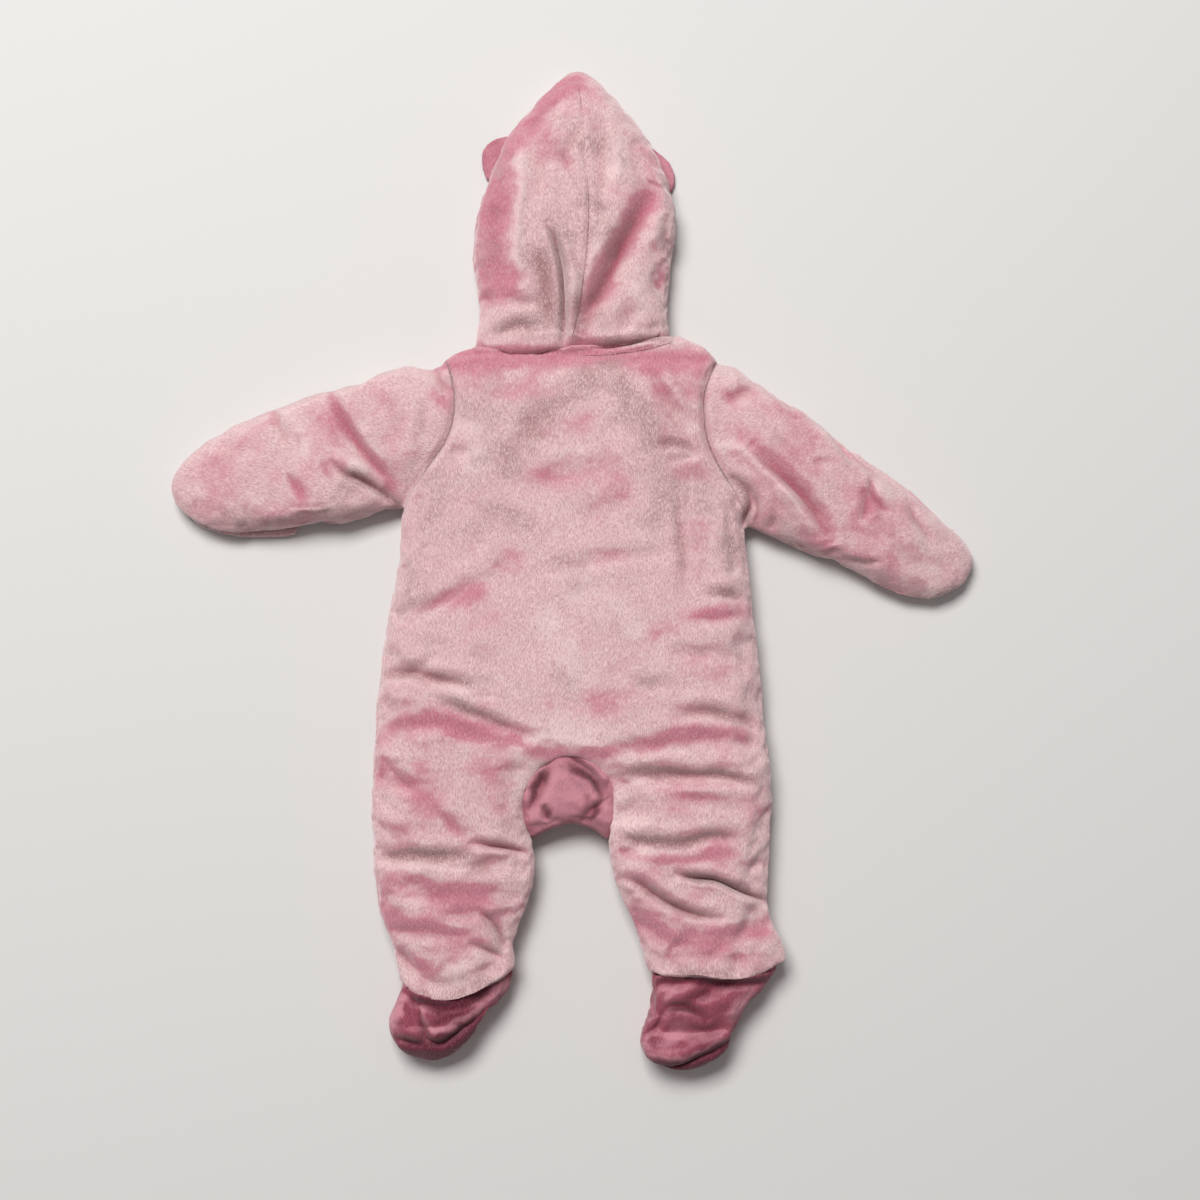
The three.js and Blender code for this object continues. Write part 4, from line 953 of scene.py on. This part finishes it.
def plush_material(name, base, rose, pale_highlight, brown_shade, tipped, uneven, grain, glow, lit):
    """Short soft pile: brushed bands, blotches and fine streaks along the lie of the pile, with
    painted brown shade and painted pale highlights.

    tipped is how much the streaks' tips shine as a painted highlight, uneven how blotchy it is,
    grain how strong the streaks are, glow the share of the sheen and lit how much the painted pale
    highlights show.
    """
    look = settings().plush
    g = Graph(name)
    pile = g.attribute("pile")
    nap_and_shading = g.attribute("nap_and_shading")
    split = g.add("ShaderNodeSeparateXYZ", {}, {0: nap_and_shading})
    rosy, brown_shaded, highlighted = (Socket(g, split.source.node.outputs[k]) for k in range(3))
    seam = g.attribute("seam", "Fac").math("ABSOLUTE")
    # Painted shade down in the creases.
    hollow = g.attribute("hollow", "Fac")

    bent = g.shift(pile, g.noise(pile, 30, output="Color"), 0.012)
    bent = g.shift(bent, g.noise(pile, 130, output="Color"), 0.003)
    cloud = g.noise(g.stretch(bent, (0.7, 1.0, 1.0)), 30, 2.0, 0.5)
    patch = g.noise(g.stretch(bent, (0.8, 1.0, 1.0), (3.1, 1.7, 0)), 72, 3.0, 0.6)
    tuft = g.noise(g.stretch(bent, (1.0, 0.5, 1.0)), 380, 2.0, 0.6)
    streak = g.noise(g.stretch(bent, (1.0, 0.28, 1.0), (0.3, 0.2, 0)), 1150, 2.0, 0.6)

    drift, speck = (cloud - 0.5) * uneven, (patch - 0.5) * uneven
    fine = (tuft - 0.5) * (0.45 * uneven) + (streak - 0.5) * (0.35 * uneven)
    rose_mask = g.between(rosy + drift * 1.7 + speck * 0.8 + fine, 0.08, 1.05)
    # Where the rose pile, the painted brown shade and the painted pale highlight show.
    brown_shade_mask = g.between(brown_shaded - drift * 1.3 + speck * 0.9 + fine, 0.12, 0.9)
    highlight_mask = g.between(highlighted - drift * 0.9 - speck * 0.8 + fine, 0.05, 0.7)
    line = g.between(seam + (streak - 0.5) * 1.6 + (patch - 0.5) * 2.4, 0.8, 0.0)
    rough = grain * (1 - rose_mask * 0.6)

    # Painted highlight: the pale colour where the pale bands lie.
    tone = g.mix(highlight_mask * lit, rgba(base), rgba(pale_highlight))
    tone = g.mix(rose_mask * 0.88, tone, rgba(rose))
    # Painted shade: the brown colour where the brown bands lie.
    tone = g.mix(brown_shade_mask * 0.82, tone, rgba(brown_shade))
    # Painted highlight on the tips of the streaks.
    tone = g.mix(g.between(streak, 0.46, 0.68) * rough * tipped, tone, rgba(pale_highlight))
    tone = g.mix(g.between(streak, 0.50, 0.30) * rough * 0.6, tone, STREAK_TINT, "MULTIPLY")
    # Painted shade darkens the bottoms of the creases.
    tone = g.mix(hollow * 0.75, tone, CREASE_SHADE_TINT, "MULTIPLY")
    tone = g.mix(line * 0.5, tone, SEAM_TINT, "MULTIPLY")

    height = (tuft * 0.6 + streak * 0.6) * rough - line * 0.8
    bump = g.add("ShaderNodeBump", {}, {"Strength": 0.85, "Distance": look.pile, "Height": height})
    shader = g.add("ShaderNodeBsdfPrincipled", {}, {
        "Base Color": tone, "Roughness": 0.92, "Specular IOR Level": 0.15,
        "Sheen Weight": look.sheen * glow, "Sheen Roughness": 0.5, "Sheen Tint": SHEEN_TINT,
        "Normal": bump})
    return g.finish(shader)


def plastic_material(name, tint):
    """Moulded zip plastic, slightly mottled and worn."""
    g = Graph(name)
    place = g.add("ShaderNodeTexCoord", {}, {}, "Object")
    grain = g.noise(place, 900, 3.0, 0.6)
    tone = g.mix(g.between(grain, 0.35, 0.7) * 0.3, rgba(tint), rgba([0.7 * v for v in tint]))
    bump = g.add("ShaderNodeBump", {}, {"Strength": 0.2, "Distance": 0.0002, "Height": grain})
    shader = g.add("ShaderNodeBsdfPrincipled", {}, {
        "Base Color": tone, "Roughness": 0.4 + grain * 0.2, "Normal": bump})
    return g.finish(shader)


@functools.cache
def material(slot):
    """The finish of a material slot, made once."""
    look = settings().plush
    name = f"{slot}_finish"
    if slot == "plush_rose":
        return plush_material(name, look.body, look.rose, look.pale_highlight, look.brown_shade,
                              tipped=0.55, uneven=1.0, grain=1.15, glow=1.0, lit=0.6)
    if slot == "plush_deep":
        return plush_material(name, look.deep, [0.8 * v for v in look.deep], look.deep_highlight,
                              DEEP_SHADE, tipped=0.18, uneven=0.6, grain=0.8, glow=0.4, lit=0.8)
    return plastic_material(name, ZIP_TINT)


# ---------------------------------------------------------------- padded pieces

def swell(piece, held, cap):
    """Fills the piece like a cushion: a pressure simulation, with each point's way capped."""
    look = settings().padding
    start = get_points(piece.data)
    group = piece.vertex_groups.new(name="held")
    for number, weight in enumerate(held):
        if weight > 0:
            group.add([number], float(weight), "REPLACE")
    cloth = piece.modifiers.new("Cloth", "CLOTH")
    values = cloth.settings
    values.quality = 4
    values.mass = 0.3
    values.vertex_group_mass = group.name
    values.use_pressure = True
    values.uniform_pressure_force = look.pressure
    values.shrink_min = -look.slack
    values.tension_stiffness = values.compression_stiffness = 12
    values.shear_stiffness = 4
    values.bending_stiffness = 0.4
    values.effector_weights.gravity = 0
    cloth.point_cache.frame_start = 1
    cloth.point_cache.frame_end = look.steps
    for step in range(1, look.steps + 1):
        bpy.context.scene.frame_set(step)
    make_real(piece)
    way = get_points(piece.data) - start
    size = np.linalg.norm(way, axis=1, keepdims=True)
    set_points(piece.data, start + way * np.minimum(1, cap / np.maximum(size, 1e-6)))
    bpy.context.scene.frame_set(1)


def lie(points, angle):
    """Coordinates with the second axis along the lie of the pile, in metres."""
    bend = 5 * np.stack([noise(points, 70, seed) for seed in (31, 32, 33)], 1)
    x, y, z = (points + bend).T * MM
    turn = angle(points) if callable(angle) else angle
    c, s = np.cos(turn), np.sin(turn)
    return np.stack([c * x + s * y, c * y - s * x, z], 1)


def store(mesh, name, values):
    """Keeps a number or a vector at each vertex for the material."""
    kind, field = ("FLOAT", "value") if values.ndim == 1 else ("FLOAT_VECTOR", "vector")
    layer = mesh.attributes.new(name, kind, "POINT")
    layer.data.foreach_set(field, values.astype(np.float32).ravel())


def dress(piece, nodes, finish, angle, brushed):
    """Pile, finish and declarations of a padded piece. brushed stands in for the tables' bands."""
    mesh = piece.data
    points, normals = get_points(mesh), get_normals(mesh)
    upward = ease(normals[:, 2], -0.1, 0.35)
    if brushed:
        nap_and_shading = np.tile(np.array(brushed, float), (len(points), 1))
    else:
        nap_and_shading = nap_and_shading_bands(points, upward)
        # Painted shade and light: faces turned away from the lamp, towards -y, get more rose, faces
        # turned towards it more pale highlight, and the low sides a pale painted highlight.
        nap_and_shading[:, ROSE] += 0.35 * ease(-normals[:, 1], 0.02, 0.35) * upward
        rim = ease(-normals[:, 2], -0.55, 0.0) * (1 - ease(points[:, 2], 8, 15))
        nap_and_shading[:, PALE_HIGHLIGHT] += 0.35 * ease(normals[:, 1], 0.05, 0.5) * upward + 0.7 * rim
    # Painted shade on the undersides: less pale highlight, more rose and brown shade.
    below = ease(-normals[:, 2], 0.5, 0.9)
    nap_and_shading[:, PALE_HIGHLIGHT] -= 0.4 * below
    nap_and_shading[:, ROSE] += (0.35 + 0.5 * noise(points, 34, 71)) * below
    nap_and_shading[:, SHADE_BROWN] += (0.1 + 0.4 * noise(points, 30, 72)) * below
    store(mesh, "nap_and_shading", nap_and_shading)
    store(mesh, "pile", lie(points, angle))
    store(mesh, "seam", seam_gap(points, upward))
    store(mesh, "hollow", crease_shade_depth(points, upward))
    shade_smooth(mesh)
    mesh.materials.clear()
    mesh.materials.append(material(finish))
    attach(piece, BODY)
    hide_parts(*nodes)


def wrinkles(points):
    """Small cross wrinkles, strongest on the legs and at the sides of the waist."""
    low = 1 - ease(points[:, 1], -150, -60)
    side = ease(np.abs(points[:, 0]), 60, 120) * (1 - ease(points[:, 1], 0, 60))
    across = noise(points * (0.35, 1, 1), 8, 41) + 0.6 * noise(points * (0.4, 1, 1), 4.5, 42)
    return 0.55 * np.maximum(low, 0.8 * side) * across


def roughen(points, normals, base, lined):
    """Creases, wrinkles and uneven edges over a smooth piece that lies on base."""
    upward = ease(normals[:, 2], 0.0, 0.4)
    inner = ease(points[:, 2], base + 3, base + 7)
    soft = (0.9 * noise(points, 42, 1) + 0.5 * noise(points, 21, 2) + 0.25 * noise(points, 9, 3)
            + 0.15 * noise(points, 3.4, 4) + wrinkles(points))
    pressed = upward
    if lined:
        pressed = np.maximum(upward, ease(-normals[:, 2], 0.0, 0.4) * ease(points[:, 2], 10, 16))
    points = press_creases(points, pressed * inner)
    points += normals * (soft * upward * inner)[:, None]
    sideways = (1 - np.abs(normals[:, 2])) * ease(points[:, 2], base, base + 4)
    bumps = 1.1 * noise(points, 26, 51) + 0.7 * noise(points, 11, 52)
    points[:, :2] += normals[:, :2] * (bumps * sideways)[:, None]
    return points


def pad(name, finish, grid, cap, angle=0.0, ground=None, ceiling=None, hold=None,
        nodes=None, grow=0.6, hidden=None, shape=None, lined=False, brushed=None):
    """A padded piece from its CAD nodes: even grid, filling, one subdivision, creases, pile.

    grid is in metres. cap, how far the filling may move a point, and grow, by which the piece is
    made larger all round, are in millimetres. ground, hold, hidden and shape are functions of the
    points. A lined piece has its creases on its inner side as well.
    """
    nodes = nodes or (name,)
    piece = welded_copy(f"{name}_plush", nodes)
    remesh(piece, grid)
    mesh = piece.data
    points = relax(get_points(mesh), get_edges(mesh), 2) + grow * get_normals(mesh)
    points[:, 2] = np.maximum(points[:, 2], ground(points) if ground else 0)
    set_points(mesh, points)
    if cap:
        swell(piece, hold(points), cap)
    refine(piece)
    mesh = piece.data
    points, normals = get_points(mesh), get_normals(mesh)
    base = ground(points) if ground else 0
    points = roughen(points, normals, base, lined)
    if shape:
        points = shape(points, normals)
    points[:, 2] = np.maximum(points[:, 2], base)
    if ceiling:
        points[:, 2] = np.minimum(points[:, 2], ceiling)
    set_points(mesh, points)
    if hidden:
        thin(piece, hidden(points, normals))
    dress(piece, nodes, finish, angle, brushed)


def on_sleeve(points, inset=0.0):
    """Which points lie past the armholes."""
    left, right = (np.interp(points[:, 1], *pairs(edge)[::-1, ::-1].T)
                   for edge in (SLEEVE_EDGE_LEFT, SLEEVE_EDGE_RIGHT))
    return (points[:, 0] < left + inset) | (points[:, 0] > right - inset)


def ground_body(points):
    """The torso lies on the front half, the sleeves on the floor."""
    return np.where(on_sleeve(points, 5), 0.0, SPLIT + SPLIT_GAP)


def angle_body(points):
    """The lie of the pile turns along each sleeve."""
    return np.where(on_sleeve(points), np.where(points[:, 0] < 0, *SLEEVE_TURNS), 0.0)


def hidden_body(points, normals):
    """The torso's underside shows nowhere."""
    return ~on_sleeve(points, 8) & (normals[:, 2] < -0.8) & (points[:, 2] < SPLIT + 1)


def hold_body(points):
    """The underside, the rim and the neck edge stay put."""
    low = ground_body(points)
    neck = ease(points[:, 1], 150, 158) * (np.abs(points[:, 0]) < 84)
    return np.maximum(1 - ease(points[:, 2] - low, 3, 8), neck)


def hold_front(points):
    """The front's upper side stays put."""
    return ease(points[:, 2], 8, 11)


def hold_hood(points):
    """The hood's lower layer stays put."""
    return 1 - ease(points[:, 2], 9, 15)


def lift(points, _):
    """The gusset bulges up into the opening between the legs."""
    moved = points.copy()
    middle, size = OPENING
    away = points[:, :2] - middle
    reach = np.hypot(*(away / size).T)
    arch = ease(points[:, 1], -205, -180)
    rise = 5 * (1 - ease(reach, 0.85, 1.3)) + 4 * arch * ease(reach, 0.7, 0.95)
    moved[:, 2] += rise * ease(points[:, 2], 6, 18)
    spread = (2.2 + 1.2 * arch) * ease(reach, 0.6, 0.95)
    spread *= ease(points[:, 2], 6, 12) * ease(points[:, 1], -226, -212)
    moved[:, :2] += away / (np.hypot(*away.T) + 1)[:, None] * spread[:, None]
    return moved


def shut(points, normals):
    """The hood's peak is sewn shut below, and its back edge reaches the yoke."""
    moved = points.copy()
    moved[:, 2] *= 1 - ease(points[:, 1], 372, 384) * ease(-normals[:, 2], 0.0, 0.3)
    edge = (1 - ease(points[:, 1], 160, 168)) * ease(points[:, 2], 14, 22)
    edge *= (1 - ease(points[:, 0], 0, 20)) * ease(points[:, 0], -84, -70)
    moved[:, 1] -= 1.8 * edge
    return moved


def snug(points, _):
    """The back's neck edge rises to meet the hood."""
    gap = points[:, 1] - np.interp(points[:, 0], *pairs(NECK_EDGE).T)
    under = ease(points[:, 2], 18, 25) * (np.abs(points[:, 0]) < 80)
    moved = points.copy()
    moved[:, 2] += 3.2 * bell(gap, 0, 3.5) * under
    return moved


def tuck(points, _):
    """A foot's upper edge slips under the hem."""
    gap = points[:, 1] - np.interp(points[:, 0], *pairs(HEMS).T)
    inner = ease(points[:, 0], -98, -76) * (points[:, 0] < 0)
    above = ease(gap + 3.5 * inner, -4, 3)
    outer = ease(points[:, 0], 106, 124)
    moved = points.copy()
    moved[:, 1] += (4 + 4 * inner - 2 * outer) * above
    moved[:, 2] -= (4 - 3 * inner + 5 * outer) * above * ease(points[:, 2], 12, 24)
    return moved


def hold_small(points):
    """Small pieces hold where they meet the floor."""
    low = points[:, 2].min()
    return 1 - ease(points[:, 2], low + 2, low + 6)


class SUIT_OT_body(Operator):
    """Builds the back with its leg backs, the sleeves and the neck band, sewn together"""

    bl_idname = "plush_suit.body"
    bl_label = "Back and sleeves"

    def execute(self, context):
        pad("body", "plush_rose", settings().padding.fine, 4, angle=angle_body, ground=ground_body,
            hold=hold_body, hidden=hidden_body, shape=snug,
            nodes=("back", "sleeve_left", "sleeve_right", "neck_band"))
        return {"FINISHED"}


class SUIT_OT_fronts(Operator):
    """Builds the two fronts with their leg fronts"""

    bl_idname = "plush_suit.fronts"
    bl_label = "Fronts"

    def execute(self, context):
        grid = settings().padding.coarse
        for side in SIDES:
            pad(f"front_{side}", "plush_rose", grid, 3, ceiling=SPLIT - SPLIT_GAP, hold=hold_front)
        return {"FINISHED"}


class SUIT_OT_mitts(Operator):
    """Builds the mitt flaps under the sleeves"""

    bl_idname = "plush_suit.mitts"
    bl_label = "Mitts"

    def execute(self, context):
        grid = settings().padding.small
        for side in SIDES:
            pad(f"mitt_{side}", "plush_rose", grid, 0, angle=angle_body)
        return {"FINISHED"}


class SUIT_OT_hood(Operator):
    """Builds the hood from its halves, and the ears"""

    bl_idname = "plush_suit.hood"
    bl_label = "Hood and ears"

    def execute(self, context):
        grid = settings().padding.fine * 0.8
        pad("hood", "plush_rose", grid, 3, hold=hold_hood, grow=1.2, shape=shut, lined=True,
            nodes=("hood_left", "hood_right"))
        for side in SIDES:
            pad(f"ear_{side}", "plush_deep", EAR_GRID, 0, brushed=EAR_NAP_AND_SHADING)
        return {"FINISHED"}


class SUIT_OT_gusset(Operator):
    """Builds the gusset between the legs"""

    bl_idname = "plush_suit.gusset"
    bl_label = "Gusset"

    def execute(self, context):
        pad("gusset", "plush_deep", settings().padding.small, 3, hold=hold_small, grow=1.0,
            shape=lift)
        return {"FINISHED"}


class SUIT_OT_feet(Operator):
    """Builds the soles and uppers of the feet"""

    bl_idname = "plush_suit.feet"
    bl_label = "Feet"

    def execute(self, context):
        grid = settings().padding.small
        for side in SIDES:
            pad(f"foot_{side}", "plush_deep", grid, 2, hold=hold_small, shape=tuck,
                nodes=(f"foot_sole_{side}", f"foot_upper_{side}"))
        return {"FINISHED"}


class SUIT_OT_zip(Operator):
    """Gives the zip and its slider their plastic"""

    bl_idname = "plush_suit.zip"
    bl_label = "Zip"

    def execute(self, context):
        for node in ("zip", "zip_slider"):
            piece = NODES[node]
            for slot in piece.material_slots:
                slot.material = material("zip_plastic")
        return {"FINISHED"}


class SUIT_OT_stage(Operator):
    """Sets up the floor, the soft light and the camera"""

    bl_idname = "plush_suit.stage"
    bl_label = "Stage"

    def execute(self, context):
        look = settings().stage
        scene = context.scene
        scene.view_settings.view_transform = "Standard"
        mesh = bpy.data.meshes.new("floor")
        form = bmesh.new()
        bmesh.ops.create_grid(form, x_segments=2, y_segments=2, size=FLOOR_HALF)
        form.to_mesh(mesh)
        form.free()
        floor = bpy.data.objects.new("floor", mesh)
        scene.collection.objects.link(floor)
        g = Graph("floor_paint")
        shader = g.add("ShaderNodeBsdfPrincipled", {}, {
            "Base Color": rgba(look.floor), "Roughness": 0.8, "Specular IOR Level": 0.2})
        mesh.materials.append(g.finish(shader))

        world = bpy.data.worlds.new("studio")
        world.use_nodes = True
        back = world.node_tree.nodes["Background"]
        back.inputs["Color"].default_value = (*DAYLIGHT, 1)
        back.inputs["Strength"].default_value = look.fill
        scene.world = world

        lamp = bpy.data.lights.new("key", "AREA")
        lamp.shape = "RECTANGLE"
        lamp.size, lamp.size_y = LAMP_SIZE
        lamp.energy = look.key
        lamp.color = DAYLIGHT
        key = bpy.data.objects.new("key", lamp)
        key.location = LAMP_PLACE
        key.rotation_euler = (CENTRE - LAMP_PLACE).to_track_quat("-Z", "Y").to_euler()
        scene.collection.objects.link(key)

        sight = bpy.data.cameras.new("camera")
        sight.lens = look.focal
        sight.sensor_width = 36
        camera = bpy.data.objects.new("camera", sight)
        back_off = Vector((0, -math.sin(look.tilt), math.cos(look.tilt)))
        camera.location = AIM + look.distance * back_off
        camera.rotation_euler = (look.tilt, 0, 0)
        scene.collection.objects.link(camera)
        scene.camera = camera
        return {"FINISHED"}


class SUIT_PT_panel(Panel):
    """Lists the suit's pieces and settings"""

    bl_idname = "SUIT_PT_panel"
    bl_label = "Plush suit"
    bl_space_type = "VIEW_3D"
    bl_region_type = "UI"
    bl_category = "Plush suit"

    def draw(self, context):
        for step in STEPS:
            self.layout.operator(step.bl_idname)
        for group in (settings().plush, settings().padding, settings().stage):
            box = self.layout.box()
            for name in group.bl_rna.properties.keys():
                if name not in ("rna_type", "name"):
                    box.prop(group, name)


STEPS = (SUIT_OT_body, SUIT_OT_fronts, SUIT_OT_mitts, SUIT_OT_hood, SUIT_OT_gusset, SUIT_OT_feet,
         SUIT_OT_zip, SUIT_OT_stage)
CLASSES = (PlushLook, PaddingLook, StageLook, SuitSettings, *STEPS, SUIT_PT_panel)


def register():
    """Makes the classes and the settings known."""
    for item in CLASSES:
        bpy.utils.register_class(item)
    bpy.types.Scene.plush_suit = PointerProperty(type=SuitSettings)


def unregister():
    """Takes them away again."""
    del bpy.types.Scene.plush_suit
    for item in reversed(CLASSES):
        bpy.utils.unregister_class(item)


def main():
    """Builds everything in order."""
    register()
    for step in STEPS:
        group, name = step.bl_idname.split(".")
        getattr(getattr(bpy.ops, group), name)()


if __name__ == "__main__":
    main()
